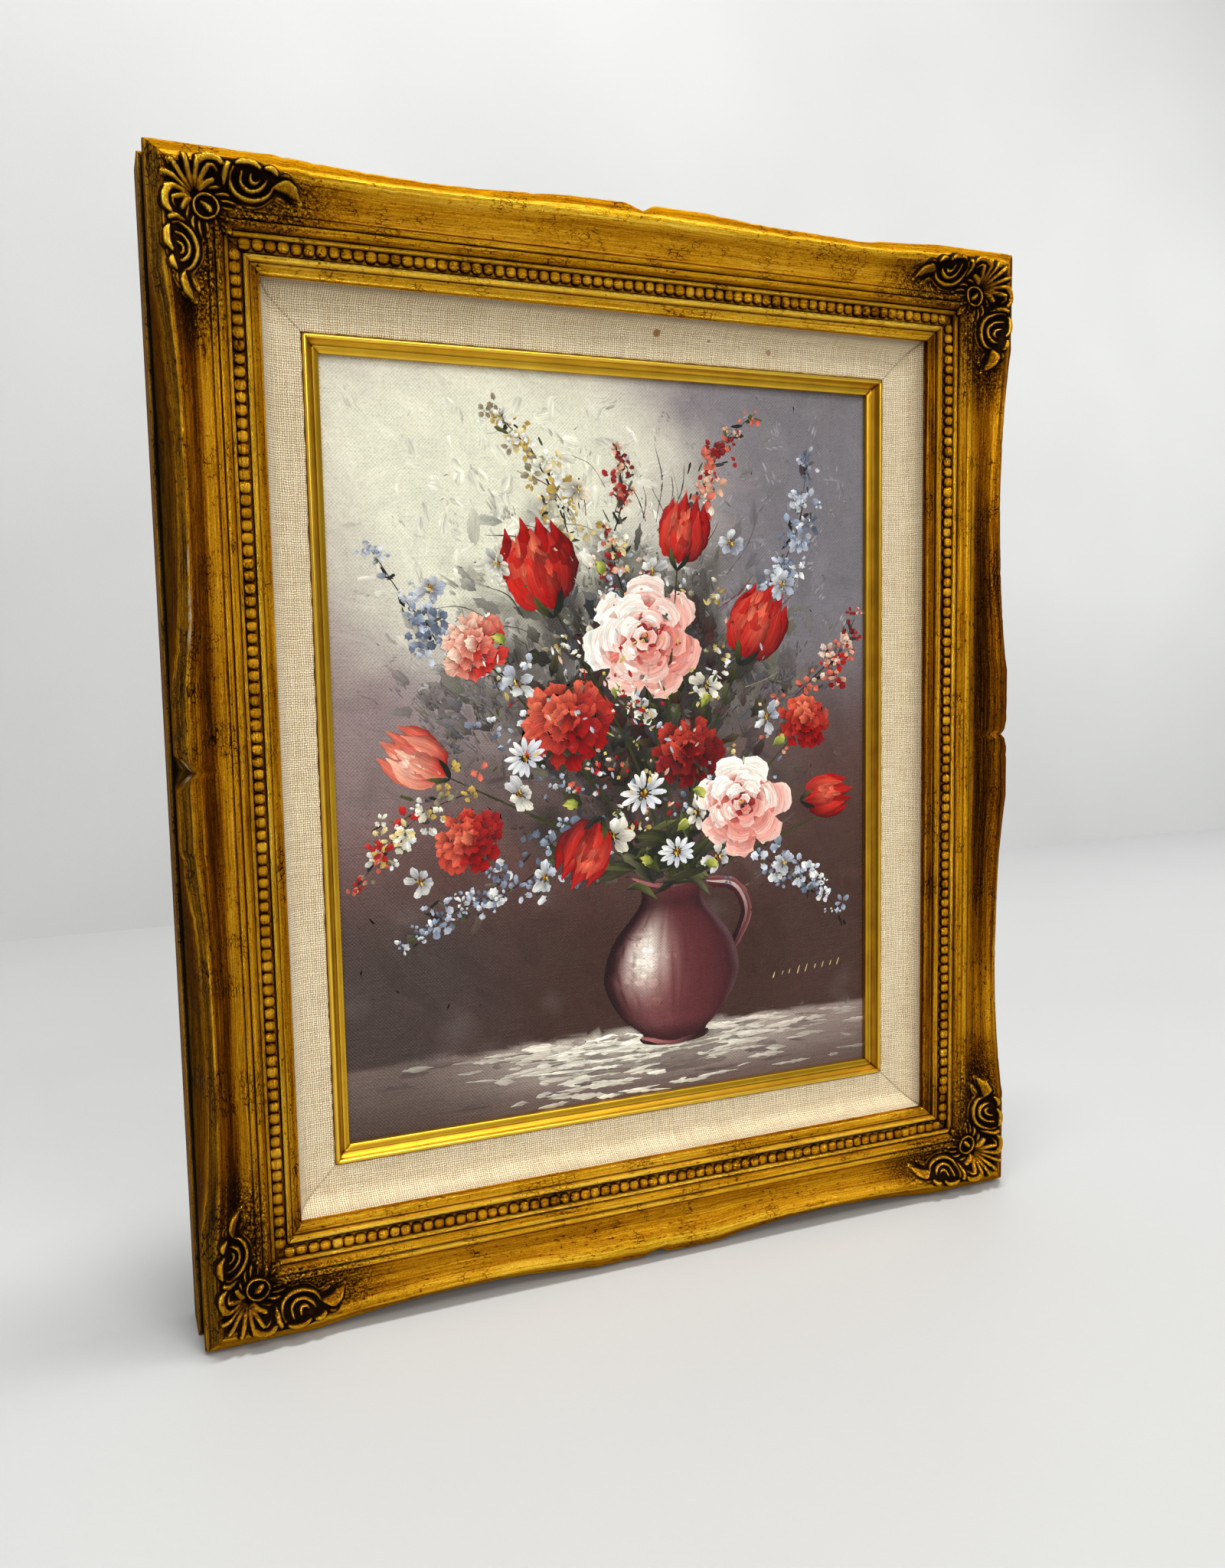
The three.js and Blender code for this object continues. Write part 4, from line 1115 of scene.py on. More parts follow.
REDS = palette((48, 2, 4), (150, 4, 8), (204, 20, 14), (244, 132, 96))
WINES = palette((34, 2, 5), (104, 3, 8), (158, 12, 14), (218, 84, 62))
PINKS = palette((150, 34, 38), (224, 126, 112), (250, 214, 196), (255, 252, 240))
ROSES = palette((112, 6, 10), (204, 48, 38), (244, 160, 128), (254, 236, 210))
GREEN_DARK, GREEN_MID, BARK = tint(28, 30, 20), tint(76, 80, 36), tint(38, 28, 26)


def light_at(angle):
    """How much an edge facing `angle` catches the light, which comes from the upper left."""
    return 0.5 + 0.5 * math.cos(angle - 2.2)


def facing(x, y, squash, lean):
    """Where a flower's points lie, given from its middle by radius and angle, as its face is tilted."""
    def spot(radius, angle, lift=0.0):
        u, v = radius * math.cos(angle), radius * math.sin(angle) * squash + lift
        u, v = turned(u, v, math.degrees(lean))
        return x + u, y + v
    return spot


def round_petals(rng, count, spread):
    """The angle of each petal of a ring, from a start drawn at random."""
    start = rng.uniform(0, 6)
    for k in range(count):
        yield k, start + 2 * math.pi * k / count + rng.uniform(-spread, spread)


def rose(paint, x, y, r, pal, seed, lean):
    rng, spot = np.random.default_rng(seed), facing(x, y, 0.92, lean)
    deep, mid, light, high = pal.values()
    seed *= 50
    for k in range(14):
        a = k * 0.45 + rng.uniform(-0.2, 0.2)
        paint.lay([spot(0.1 * r, a), spot(0.8 * r, a)], 0.2 * r, (deep, mid), 0.05, seed + k,
                  ends=(0.6, 0.8))
    rings = ((0.82, 7, 0.27), (0.57, 6, 0.24), (0.34, 5, 0.17), (0.14, 3, 0.10))
    for ring, (rho, count, half) in enumerate(rings):
        for k, a in round_petals(rng, count, 0.12):
            wide = 2 * math.pi / count * rng.uniform(0.50, 0.62)
            far = r * rho * rng.uniform(0.94, 1.07)
            path = [spot(far * (0.90 + 0.13 * math.cos(s * 1.5)), a + s * wide)
                    for s in (-1, -0.5, 0, 0.5, 1)]
            glow = np.clip(0.1 + light_at(a) + rng.uniform(-0.2, 0.15), 0, 1)
            main = mixed(mixed(mid, light, glow), high, 0.6 * glow ** 2)
            rim = mixed(mixed(mid, light, 0.45), high, glow)
            back = mixed(mid, deep, 0.75 - 0.3 * glow)
            paint.lay(path, half * r, (main, mixed(main, mid, 0.4), back, rim, 1.0), 0.16,
                      seed + 20 + 10 * ring + k, 7, ends=(0.35, 0.3), ragged=0.14, streak=0.14, lip=0.6)
            if glow > 0.45 and ring < 3:
                edge = [spot(far * (0.95 + 0.13 * math.cos(s * 1.5)), a + s * wide + 0.1)
                        for s in (-0.6, 0, 0.5)]
                paint.lay(edge, 0.055 * r, (high, rim), 0.24, seed + 300 + 10 * ring + k, 4,
                          ends=(0.3, 0.2), ragged=0.3, lip=0.7)
    for k, c in enumerate((deep, tint(208, 160, 40), tint(70, 30, 20), tint(232, 196, 90), mid)):
        a = rng.uniform(0, 6.3)
        paint.lay([spot(0.02 * r, a), spot(0.10 * r, a + 0.8)], 0.035 * r, (c, c), 0.18, seed + 70 + k, 3)


# A tulip's petals from back to front: path, half width and tone from shade to light.
TULIP = [([(-0.10, 0.02), (-0.40, 0.42), (-0.36, 0.98)], 0.17, 0.15),
         ([(0.12, 0.0), (0.42, 0.42), (0.36, 0.95)], 0.17, 0.0),
         ([(0.0, 0.05), (-0.06, 0.55), (-0.08, 1.10)], 0.20, 0.25),
         ([(0.03, 0.05), (0.16, 0.5), (0.18, 1.05)], 0.17, 0.1),
         ([(-0.06, -0.03), (-0.33, 0.30), (-0.27, 0.88)], 0.20, 0.8),
         ([(0.07, -0.03), (0.33, 0.30), (0.26, 0.84)], 0.18, 0.4),
         ([(0.01, -0.06), (-0.01, 0.36), (-0.03, 0.80)], 0.23, 1.0)]


def tulip(paint, x, y, w, h, lean, pal, seed):
    """A cup of pointed petals on its stem's end (x, y), leaning by `lean` degrees to the left."""
    rng = np.random.default_rng(seed)
    deep, mid, light, high = pal.values()
    seed *= 50

    def spot(u, v):
        u, v = turned(u * w, v * h, lean)
        return x + u, y + v
    for k, (path, half, glow) in enumerate(TULIP):
        path = [spot(u + rng.uniform(-0.02, 0.02), v + rng.uniform(-0.03, 0.03)) for u, v in path]
        main = mixed(deep, mid, 0.25 + 0.75 * glow)
        tip = mixed(mixed(mid, light, 0.3 + 0.7 * glow), high, 0.5 * glow ** 2)
        left, right = mixed(main, light, 0.2 + 0.8 * glow), mixed(main, deep, 0.8)
        paint.lay(path, half * w, (main, tip, left, right), 0.16, seed + k, 7, ends=(0.5, 0.22),
                  streak=0.18, lip=0.6)
    for k in range(12):
        u, v = rng.uniform(-0.32, 0.22), rng.uniform(0.25, 0.7)
        c = mixed(mid if k % 3 else light, high, rng.uniform(0.1, 0.85) * (1 if u < 0.05 else 0.4))
        end = spot(u * 0.9 + rng.uniform(-0.03, 0.03), v + rng.uniform(0.14, 0.3))
        paint.lay([spot(u, v), end], rng.uniform(0.025, 0.055) * w, (c, mixed(c, mid, 0.5)), 0.12,
                  seed + 20 + k, 3, ends=(0.3, 0.3), ragged=0.3)
    for sign, c in ((-1, GREEN_MID), (1, GREEN_DARK)):
        paint.lay([spot(0, -0.16), spot(sign * 0.14, -0.02), spot(sign * 0.24, 0.18)], 0.055 * w,
                  (GREEN_DARK, c), 0.12, seed + 30 + sign, 4, ends=(0.6, 0.1))


def carnation(paint, x, y, r, pal, seed, lean):
    rng, spot = np.random.default_rng(seed), facing(x, y, 0.85, lean)
    deep, mid, light, high = pal.values()
    number = seed * 70
    for ring, (rho, count) in enumerate(((0.98, 17), (0.74, 13), (0.50, 9), (0.27, 5))):
        lift = 0.03 * ring * r
        for _, a in round_petals(rng, count, 0.14):
            far = rho * rng.uniform(0.9, 1.06)
            glow = np.clip(light_at(a) * 0.8 + 0.05 * ring + rng.uniform(-0.2, 0.2), 0, 1)
            tip = mixed(mixed(mid, light, glow), high, 0.9 * glow ** 2.4)
            path = [spot((far - 0.46) * r, a, lift), spot((far - 0.2) * r, a + rng.uniform(-0.1, 0.1), lift),
                    spot(far * r, a + rng.uniform(-0.12, 0.12), lift)]
            paint.lay(path, r * rng.uniform(0.13, 0.18), (mixed(deep, mid, 0.5 * glow), tip), 0.12, number,
                      ends=(0.3, 0.85), ragged=0.4, streak=0.14, lip=0.45, rows=6)
            number += 1


def flower_eye(paint, x, y, colours, angles, radii, half, rise, thick, seed):
    """Small round touches of yellow and brown in a flower's middle."""
    for k, (a, d) in enumerate(zip(angles, radii)):
        c = tint(*colours[k % 4])
        px, py = ahead(x, y, a, d)
        paint.lay([(px - 0.5, py), (px + 0.5, py + rise)], half, (c, c), thick, seed + 20 + k, 3, rows=4)


def daisy(paint, x, y, r, seed, squash, lean, cool):
    rng, spot = np.random.default_rng(seed), facing(x, y, squash, lean)
    count = int(rng.integers(11, 14))
    start = rng.uniform(0, 6)
    seed *= 30
    for k in rng.permutation(count):
        a = start + 2 * math.pi * k / count + rng.uniform(-0.1, 0.1)
        far = r * rng.uniform(0.86, 1.08)
        white = mixed(tint(250, 248, 240), tint(208, 216, 230), min(1, cool + 0.5 * (1 - light_at(a))))
        root = mixed(tint(150, 150, 158), white, 0.35)
        paint.lay([spot(0.2 * r, a), spot(far, a)], r * 0.125, (root, white), 0.2, seed + int(k),
                  ends=(0.35, 0.6), ragged=0.1, streak=0.08, rows=6)
    draws = [(rng.uniform(0, 6.3), 0.13 * r * math.sqrt(rng.random())) for _ in range(8)]
    flower_eye(paint, x, y, ((92, 56, 18), (214, 150, 30), (240, 196, 60), (160, 96, 22)), *zip(*draws),
               0.085 * r, 0.2, 0.2, seed)


def blossom(paint, x, y, r, seed, petals, cool, cream):
    """A loose white flower of a few broad knife touches."""
    rng = np.random.default_rng(seed)
    start, squash, lean = rng.uniform(0, 6), rng.uniform(0.6, 0.9), rng.uniform(0, 3)
    spot = facing(x, y, squash, lean)
    seed *= 30
    for k in range(petals):
        a = start + 2 * math.pi * k / petals + rng.uniform(-0.25, 0.25)
        far = r * rng.uniform(0.8, 1.15)
        white = mixed(tint(252, 250, 240), tint(176, 184, 200), min(1, cool + 0.55 * (1 - light_at(a))))
        white = mixed(white, tint(240, 214, 150), cream * rng.uniform(0.3, 1))
        middle = spot(0.6 * far, a)
        path = [spot(0.15 * r, a), (middle[0] + rng.normal(0, 0.08 * r), middle[1]), spot(far, a)]
        paint.lay(path, r * rng.uniform(0.2, 0.28), (mixed(tint(96, 90, 84), white, 0.3), white), 0.26,
                  seed + k, ends=(0.35, 0.75), ragged=0.2, lip=0.6, rows=6)
    flower_eye(paint, x, y, ((70, 48, 20), (206, 150, 40), (150, 96, 30), (232, 196, 90)),
               rng.uniform(0, 6.3, 4), [0.12 * r] * 4, 0.09 * r + 0.2, 0.3, 0.22, seed)


def leaf(paint, points, half, dark, light, seed, thick=0.1):
    paint.lay(points, half, (dark, light, mixed(light, dark, 0.25), dark), thick, seed,
              ends=(0.2, 0.05), ragged=0.08, streak=0.12)


def stem(paint, points, half, colour, seed):
    paint.lay(points, half, (colour, colour), 0.06, seed, 3, ends=(0.8, 0.3), ragged=0.3,
              rows=3 + 3 * len(points))


def dab(paint, x, y, angle, length, half, back, colour, seed, thick):
    """One short knife touch, thickest at its far end."""
    paint.lay([(x, y), ahead(x, y, angle, length)], half, (back, colour), thick, seed, 4,
              ends=(0.35, 0.75), ragged=0.25, streak=0.12, lip=0.7, rows=5)


def spray(paint, points, count, spread, size, colours, seed):
    """Clusters of knife touches strewn along a bending twig, with side twigs and dark leaves."""
    rng = np.random.default_rng(seed)
    seed *= 90
    line = through(points, 60)
    heading = math.atan2(line[-1][1] - line[0][1], line[-1][0] - line[0][0])
    stem(paint, points, 0.25, BARK, seed)
    for k in range(count // 2):
        i = rng.integers(4, 58)
        px, py = line[i] + rng.normal(0, 0.5, 2) * spread * (1.1 - 0.8 * i / 60)
        a = heading + rng.normal(0, 0.8)
        c = (GREEN_DARK, GREEN_MID, BARK, tint(96, 92, 78), tint(62, 56, 58))[k % 5] * rng.uniform(0.7, 1.2)
        dab(paint, px, py, a, rng.uniform(1.5, 5.5), rng.uniform(0.25, 0.8), c, c, seed + 1 + k, 0.08)
    for k in range(count):
        i = int(np.clip(rng.normal(32, 17), 2, 59))
        px, py = line[i] + rng.normal(0, 0.62, 2) * spread * (1.1 - 0.75 * i / 60)
        a = rng.uniform(0, 6.3)
        main = colours[int(rng.integers(len(colours)))]
        long = 1.35 * size * rng.uniform(0.45, 1.25) * (1.2 - 0.55 * i / 60)
        for m in range(int(rng.integers(1, 5))):
            b = a + m * 1.5 + rng.uniform(-0.4, 0.4)
            c = np.clip(main * rng.uniform(0.75, 1.15), 0, 0.95)
            dab(paint, *ahead(px, py, b, 0.2 * long), b, long * rng.uniform(0.7, 1.1),
                long * rng.uniform(0.22, 0.38), mixed(c, BARK, 0.45), c, seed + 400 + 5 * k + m,
                0.26 * rng.uniform(0.5, 1.1))


JUG_X, JUG_FOOT = 18.0, -102.0
JUG_HEIGHTS = [0, 1.2, 3.0, 10, 22, 34, 42, 47.5, 51.5, 55, 57.5]
JUG_RADII = [12.5, 13.4, 12.4, 20.5, 26.0, 23.0, 16.6, 12.2, 11.4, 13.0, 15.4]
MOUTH = (JUG_X, JUG_FOOT + 56)
JUG_DEEP, JUG_BODY, JUG_WARM = tint(34, 10, 14), tint(92, 40, 44), tint(160, 98, 96)


def jug_radius(up):
    return np.interp(up, JUG_HEIGHTS, JUG_RADII)


def glaze(x, y):
    """The jug's colour where it is lit from the upper left."""
    up = y - JUG_FOOT + 1.4
    turn = np.arcsin(np.clip((x - JUG_X) / jug_radius(up), -0.99, 0.99))
    brushed = turn + 0.10 * wobble(turn * 30 + 0.05 * up, 821, 1.0)
    c = mixed(JUG_DEEP, JUG_BODY, smooth(1.5, 0.2, np.abs(turn - 0.15)))
    c = mixed(c, JUG_WARM, 0.85 * np.exp(-((brushed + 0.42) / 0.42) ** 2 - ((up - 27) / 16) ** 2))
    gleam = np.exp(-((brushed + 0.46) / 0.25) ** 2 - ((up - 31) / 9.5) ** 2)
    c = mixed(c, tint(246, 238, 224), 0.95 * gleam)
    c = mixed(c, JUG_DEEP, 0.75 * smooth(9, 1, up) + 0.5 * np.exp(-((up - 49) / 3.5) ** 2))
    return mixed(c, tint(120, 84, 90), 0.5 * smooth(1.0, 1.5, turn))


def on_jug(x, y):
    up = y - JUG_FOOT + 2.6
    return (np.abs(x - JUG_X) < jug_radius(up) + 0.8) & (up > -2) & (up < 59)


def jug_paint(paint):
    """A maroon jug with one handle, and its shadow on the table."""
    r = np.random.default_rng(83)
    handle = [(31.0, -48.0), (42.5, -50.5), (47.0, -60.5), (41.0, -73.5)]
    paint.lay(handle, 2.3, (JUG_BODY, JUG_DEEP, JUG_WARM, JUG_DEEP), 0.10, 8301, ends=(0.9, 0.8),
              ragged=0.05)
    paint.lay(handle, 0.7, (tint(206, 180, 172), JUG_BODY), 0.10, 8302, 3, ends=(0.3, 0.1))
    outline = through(list(zip(JUG_HEIGHTS, JUG_RADII)), 64)
    up, turn = outline[:, :1], np.linspace(-1.5, 1.5, 45)[None, :]
    x = JUG_X + outline[:, 1:] * np.sin(turn)
    y = JUG_FOOT + up - np.cos(turn) * (2.2 * smooth(12, 0, up) + 2.4 * smooth(46, 57, up))
    paint.coat(x, y, glaze, on_jug, 0.03, 8310, 0.8)
    for k in range(30):
        turn, up = r.normal(-0.44, 0.16), r.normal(30, 6)
        x, y = JUG_X + jug_radius(up) * math.sin(turn), JUG_FOOT + up
        lift, reach = r.uniform(1.05, 1.5), r.uniform(1.6, 3.6)
        path = [(x - reach, y + r.uniform(-0.4, 0.8)), (x, y - 0.3), (x + reach, y + r.uniform(-0.4, 0.8))]
        paint.lay(path, r.uniform(1.0, 2.0), lambda t, v, px, py: np.clip(glaze(px, py) * lift, 0, 0.95),
                  0.06, 8350 + k, ragged=0.3, blend=glaze, thin=0.5)
    rim, foot = [(-15, 57), (-8, 54.4), (0, 53.6), (8, 54.4), (15, 57)], [(-13, 1.5), (0, -1.4), (13, 1.5)]
    for path, half, seed in ((rim, 0.8, 8395), (foot, 0.9, 8396)):
        paint.lay([(JUG_X + u, JUG_FOOT + v) for u, v in path], half, (JUG_WARM, JUG_DEEP), 0.12, seed, 4)
    for k in range(12):
        y = JUG_FOOT - r.uniform(2.5, 12)
        x = JUG_X + r.normal(4, 7)
        c = mixed(backdrop(x, y), tint(70, 40, 48), 0.5)
        paint.lay([(x - r.uniform(3, 9), y), (x + r.uniform(3, 12), y + 0.3)], r.uniform(0.4, 1.1), (c, c),
                  0.04, 8400 + k, 4, ragged=0.3, thin=0.4)


def ticks(paint):
    """A row of plain slanted ticks, low at the right, in the inscription's place."""
    r = np.random.default_rng(97)
    ochre = tint(206, 186, 122)
    for k in range(9):
        x, y = 58 + 3.4 * k + r.uniform(-0.3, 0.3), -84.5 + 0.25 * k
        long = r.uniform(1.1, 1.9)
        paint.lay([(x - 0.35 * long, y - long), (x, y), (x + 0.35 * long, y + long)], r.uniform(0.26, 0.38),
                  (ochre, mixed(ochre, tint(120, 96, 70), 0.4)), 0.06, 8700 + k, 3, ends=(0.5, 0.3))


def feathers(paint, r, count, middle, spread, inks, strength, seed):
    """Dry, broken touches of dark and grey foliage that thin out away from the jug's mouth."""
    for k in range(count):
        a, far = r.uniform(0, 2 * math.pi), abs(r.normal(0, 0.6))
        x, y = middle[0] + spread[0] * far * math.cos(a), middle[1] + spread[1] * far * math.sin(a)
        if abs(x) > 96 or y > 118 or y < TABLE_EDGE + 22 or far > 1.7:
            continue
        near = backdrop(x, y)
        share = np.clip(strength * (1.25 - 0.6 * far) + r.normal(0, 0.1), 0.1, 1)
        main = mixed(near, inks[k % len(inks)], share)
        heading = away_from_mouth(x, y) + r.normal(0, 0.55)
        if k % 4 == 0:
            length, half = r.uniform(6, 13), r.uniform(1.0, 2.4)
            paint.lay([(x, y), ahead(x, y, heading, length)], half, (main, mixed(main, near, 0.5)), 0.04,
                      seed + 7 * k, ends=(0.5, 0.2), ragged=0.35, thin=0.5,
                      blend=backdrop if far > 0.9 else None)
        else:
            dry(paint, x, y, heading, r.uniform(4, 11), r.uniform(1.2, 3.2), main, near, seed + 7 * k, r)


def away_from_mouth(x, y):
    return math.atan2(y - MOUTH[1], x - MOUTH[0])


GREYS = [tint(84, 80, 76), tint(112, 106, 100), tint(72, 74, 82), tint(58, 52, 46), tint(100, 98, 82)]
DARKS = [tint(40, 36, 32), tint(52, 28, 26), tint(44, 46, 30), tint(50, 50, 54), tint(30, 24, 22)]
BLUE = [tint(214, 220, 230), tint(150, 162, 182), tint(246, 247, 244), tint(104, 114, 134),
        tint(190, 198, 212)]
IVORY = [tint(252, 246, 218), tint(236, 214, 150), tint(255, 252, 240), tint(212, 176, 84),
         tint(160, 148, 116)]
BLUSH = [tint(228, 112, 88), tint(196, 34, 28), tint(248, 214, 190), tint(146, 20, 20),
         tint(242, 180, 146)]
# What stands in the picture. An entry holds what the function that paints it takes, in its order; a
# blossom has its place, size, coolness and creaminess, and a leaf in front its place and angle.
FEATHERS = [(400, (0, 30), (76, 66), GREYS, 0.8, 20000), (170, (-52, 16), (26, 22), GREYS, 0.95, 22000),
            (150, (58, 22), (24, 28), GREYS, 0.95, 23300), (560, (6, 8), (50, 46), DARKS, 0.95, 24000)]
STEMS = [(-24, 48), (46, 30), (22, 64), (-66, -4), (82, -26), (8, 30), (-50, 34), (72, 6)]
SPRAYS = [([(-30, 20), (-50, 30), (-68, 44), (-82, 64)], 62, 8, 2.7, BLUE),
          ([(50, 44), (62, 60), (70, 78), (72, 98)], 60, 7, 2.6, BLUE),
          ([(40, -30), (58, -44), (74, -52), (88, -66)], 50, 7, 2.5, BLUE),
          ([(-16, -30), (-38, -44), (-58, -50), (-76, -60)], 60, 8, 2.7, BLUE),
          ([(-16, 66), (-22, 82), (-30, 96), (-42, 108)], 54, 7, 2.5, IVORY),
          ([(26, 76), (34, 90), (40, 102), (52, 112)], 46, 6, 2.4, BLUSH),
          ([(66, 14), (78, 24), (86, 30), (93, 44)], 40, 6, 2.4, BLUSH),
          ([(-52, -12), (-68, -18), (-80, -28), (-90, -40)], 50, 7, 2.5, IVORY + BLUSH[:2]),
          ([(2, 50), (-2, 66), (2, 82), (0, 98)], 44, 6, 2.3, BLUSH + IVORY[:2])]
TULIPS = [(22, 62, 16, 21, -12, REDS, 31), (-24, 47, 22, 27, 16, REDS, 32), (47, 30, 20, 25, -28, REDS, 33),
          (-62, -6, 16, 21, 58, ROSES, 34), (72, -22, 14, 18, -84, REDS, 36)]
CARNATIONS = [(-50, 34, 12.5, ROSES, 45, 0.5), (71, 6, 11.5, REDS, 42, -0.5), (-53, -28, 13, REDS, 43, 0.6),
              (25, -3, 14.5, WINES, 44, 0.0), (-19, 8, 17.5, REDS, 41, 0.2)]
BLOSSOMS = [(-36, 22, 6.5, 0.3, 0), (32, 20, 6.0, 0.1, 0.4), (-36, -14, 6.0, 0.2, 0.3),
            (56, 8, 5.5, 0.4, 0), (12, 58, 5.5, 0.2, 0.3), (-4, -30, 6.5, 0, 0.5), (36, -40, 5.5, 0.2, 0.2),
            (62, 54, 5.0, 0.5, 0), (-64, 52, 5.0, 0.5, 0), (-8, 36, 5.5, 0.1, 0.6),
            (-70, -40, 5.0, 0.4, 0.2), (42, 68, 5.0, 0.4, 0), (-28, -42, 5.5, 0.3, 0),
            (62, -44, 4.5, 0.5, 0), (-14, 84, 5.0, 0.2, 0.6), (8, 12, 5.5, 0.1, 0.3),
            (28, -24, 5.5, 0.1, 0.4), (-42, 60, 4.5, 0.3, 0.4)]
DAISIES = [(8, -16, 8.5, 401, 0.85, 0.3, 0.0), (-34, -2, 7.5, 402, 0.8, 0.8, 0.2),
           (20, -37, 7.5, 403, 0.7, 0.1, 0.1)]
FRONT_LEAVES = [(20, -30, 0.6), (10, -42, 2.4), (30, -42, -0.3), (-16, -20, 2.9), (58, -2, 0.4),
                (-2, 16, 1.8), (30, 12, 1.2), (26, -16, -0.6), (-40, 34, 2.6), (-6, 56, 2.0)]


def greenery(paint, r):
    """Dark leaves behind the flowers, then the jug and the ticks, the stems and long fine grasses."""
    for k in range(150):
        x, y = r.normal(6, 25), r.normal(0, 25)
        if y < -46 or math.hypot(x - 6, y) > 46:
            continue
        a = away_from_mouth(x, y) + r.normal(0, 0.7)
        main = DARKS[k % 5] * r.uniform(0.5, 1.2)
        tip = (GREEN_MID, tint(96, 90, 80), tint(110, 104, 62), tint(84, 40, 34))[k % 4]
        tip = mixed(main, tip, r.uniform(0, 0.8))
        paint.lay([(x, y), ahead(x, y, a, 9)], r.uniform(1.2, 2.8), (main, tip), 0.08, 14000 + k, 4,
                  ends=(0.5, 0.2), ragged=0.35)
    jug_paint(paint)
    ticks(paint)
    for k, (x, y) in enumerate(STEMS):
        bend = (MOUTH[0] * 0.6 + x * 0.4 + r.uniform(-4, 4), (MOUTH[1] + y) / 2 - 4)
        stem(paint, [MOUTH, bend, (x, y)], 0.5, mixed(GREEN_DARK, GREEN_MID, 0.4), 14200 + k)
    for k in range(40):
        a = r.uniform(0.0, math.pi)
        x, y = 6 + 44 * math.cos(a) + r.normal(0, 6), 18 + 58 * math.sin(a) + r.normal(0, 6)
        out = a + r.normal(0, 0.3)
        length = r.uniform(8, 26)
        c = (tint(54, 46, 44), tint(96, 88, 72), tint(150, 140, 118), tint(110, 50, 44))[k % 4]
        path = [(x, y), ahead(x, y + 1, out, 0.5 * length), ahead(x, y, out + 0.2, length)]
        stem(paint, path, 0.17, c, 14230 + k)


def fillers(paint, r):
    """Loose clusters of small blossom between the flowers, and leaves over the jug's shoulder."""
    for k in range(46):
        a, d = r.uniform(0, 6.3), math.sqrt(r.uniform(0.02, 1))
        x, y = 4 + 60 * d * math.cos(a), 10 + 50 * d * math.sin(a)
        if y < -40 and abs(x - 18) < 24:
            continue
        colours = (BLUE, IVORY, BLUE, BLUSH)[k % 4]
        for m in range(int(r.integers(4, 10))):
            px, py, b = x + r.normal(0, 3.0), y + r.normal(0, 2.6), r.uniform(0, 6.3)
            c = colours[int(r.integers(len(colours)))] * r.uniform(0.7, 1.1)
            dab(paint, px, py, b, r.uniform(1.3, 3.2), r.uniform(0.4, 1.0), mixed(c, BARK, 0.5),
                np.clip(c, 0, 0.95), 16000 + 12 * k + m, r.uniform(0.12, 0.3))
    for k in range(46):
        a = r.uniform(-0.5, math.pi + 0.5)
        x, y = MOUTH[0] + r.normal(0, 9), MOUTH[1] + r.uniform(-3, 14)
        length, droop = r.uniform(9, 22), 4 if math.cos(a) ** 2 > 0.5 else 0
        tip = (x + length * math.cos(a), y + length * math.sin(a) * 0.8 - droop)
        middle = ((x + tip[0]) / 2 + r.uniform(-2, 2), (y + tip[1]) / 2 + r.uniform(0, 3))
        light = (GREEN_MID, tint(110, 112, 60), tint(120, 116, 84), tint(70, 62, 40), GREEN_DARK)[k % 5]
        light = mixed(light, GREEN_DARK, 0.3)
        leaf(paint, [(x, y), middle, tip], r.uniform(1.2, 2.6), GREEN_DARK, light, 14300 + k)


def bouquet(paint):
    """The foliage, the jug and every flower, from back to front."""
    r = np.random.default_rng(97)
    for group in FEATHERS:
        feathers(paint, r, *group)
    paint.piece("paint_foliage")
    greenery(paint, r)
    for k, twig in enumerate(SPRAYS):
        spray(paint, *twig, 61 + k)
    fillers(paint, r)
    for flower in TULIPS:
        tulip(paint, *flower)
    for flower in CARNATIONS:
        carnation(paint, *flower)
    for k, (x, y, size, cool, cream) in enumerate(BLOSSOMS):
        blossom(paint, x, y, 1.15 * size, 450 + k, 5 + k % 3, cool, cream)
    rose(paint, 9, 36, 19.5, PINKS, 53, 0.4)
    rose(paint, 46, -22, 17.0, PINKS, 52, -0.3)
    tulip(paint, -9, -26, 17, 21, 150, REDS, 35)
    for flower in DAISIES:
        daisy(paint, *flower)
    for k, (x, y, a) in enumerate(FRONT_LEAVES):
        middle = (x + 3 * math.cos(a) + 1, y + 3 * math.sin(a) + 1)
        leaf(paint, [(x, y), middle, ahead(x, y, a, 6)], 1.8, tint(90, 104, 36), tint(206, 204, 96),
             14400 + k, 0.2)
    # Loose touches of every colour over the whole bunch.
    touches = (tint(248, 244, 224), tint(190, 196, 208), tint(176, 30, 26), tint(222, 196, 110), GREEN_MID,
               tint(120, 112, 104), tint(236, 190, 170))
    for k in range(170):
        a, d = r.uniform(0, 6.3), abs(r.normal(0, 0.42))
        x, y = 4 + 66 * d * math.cos(a), 14 + 72 * d * math.sin(a)
        if abs(x) > 95 or y < -60:
            continue
        c = touches[k % 7]
        b, long = r.uniform(0, 6.3), r.uniform(1.2, 3.4)
        paint.lay([(x, y), ahead(x, y, b, long)], r.uniform(0.25, 0.7), (c, c * 0.75), 0.2, 14500 + k, 3,
                  ends=(0.4, 0.5), rows=4)
    paint.piece("paint_bouquet")


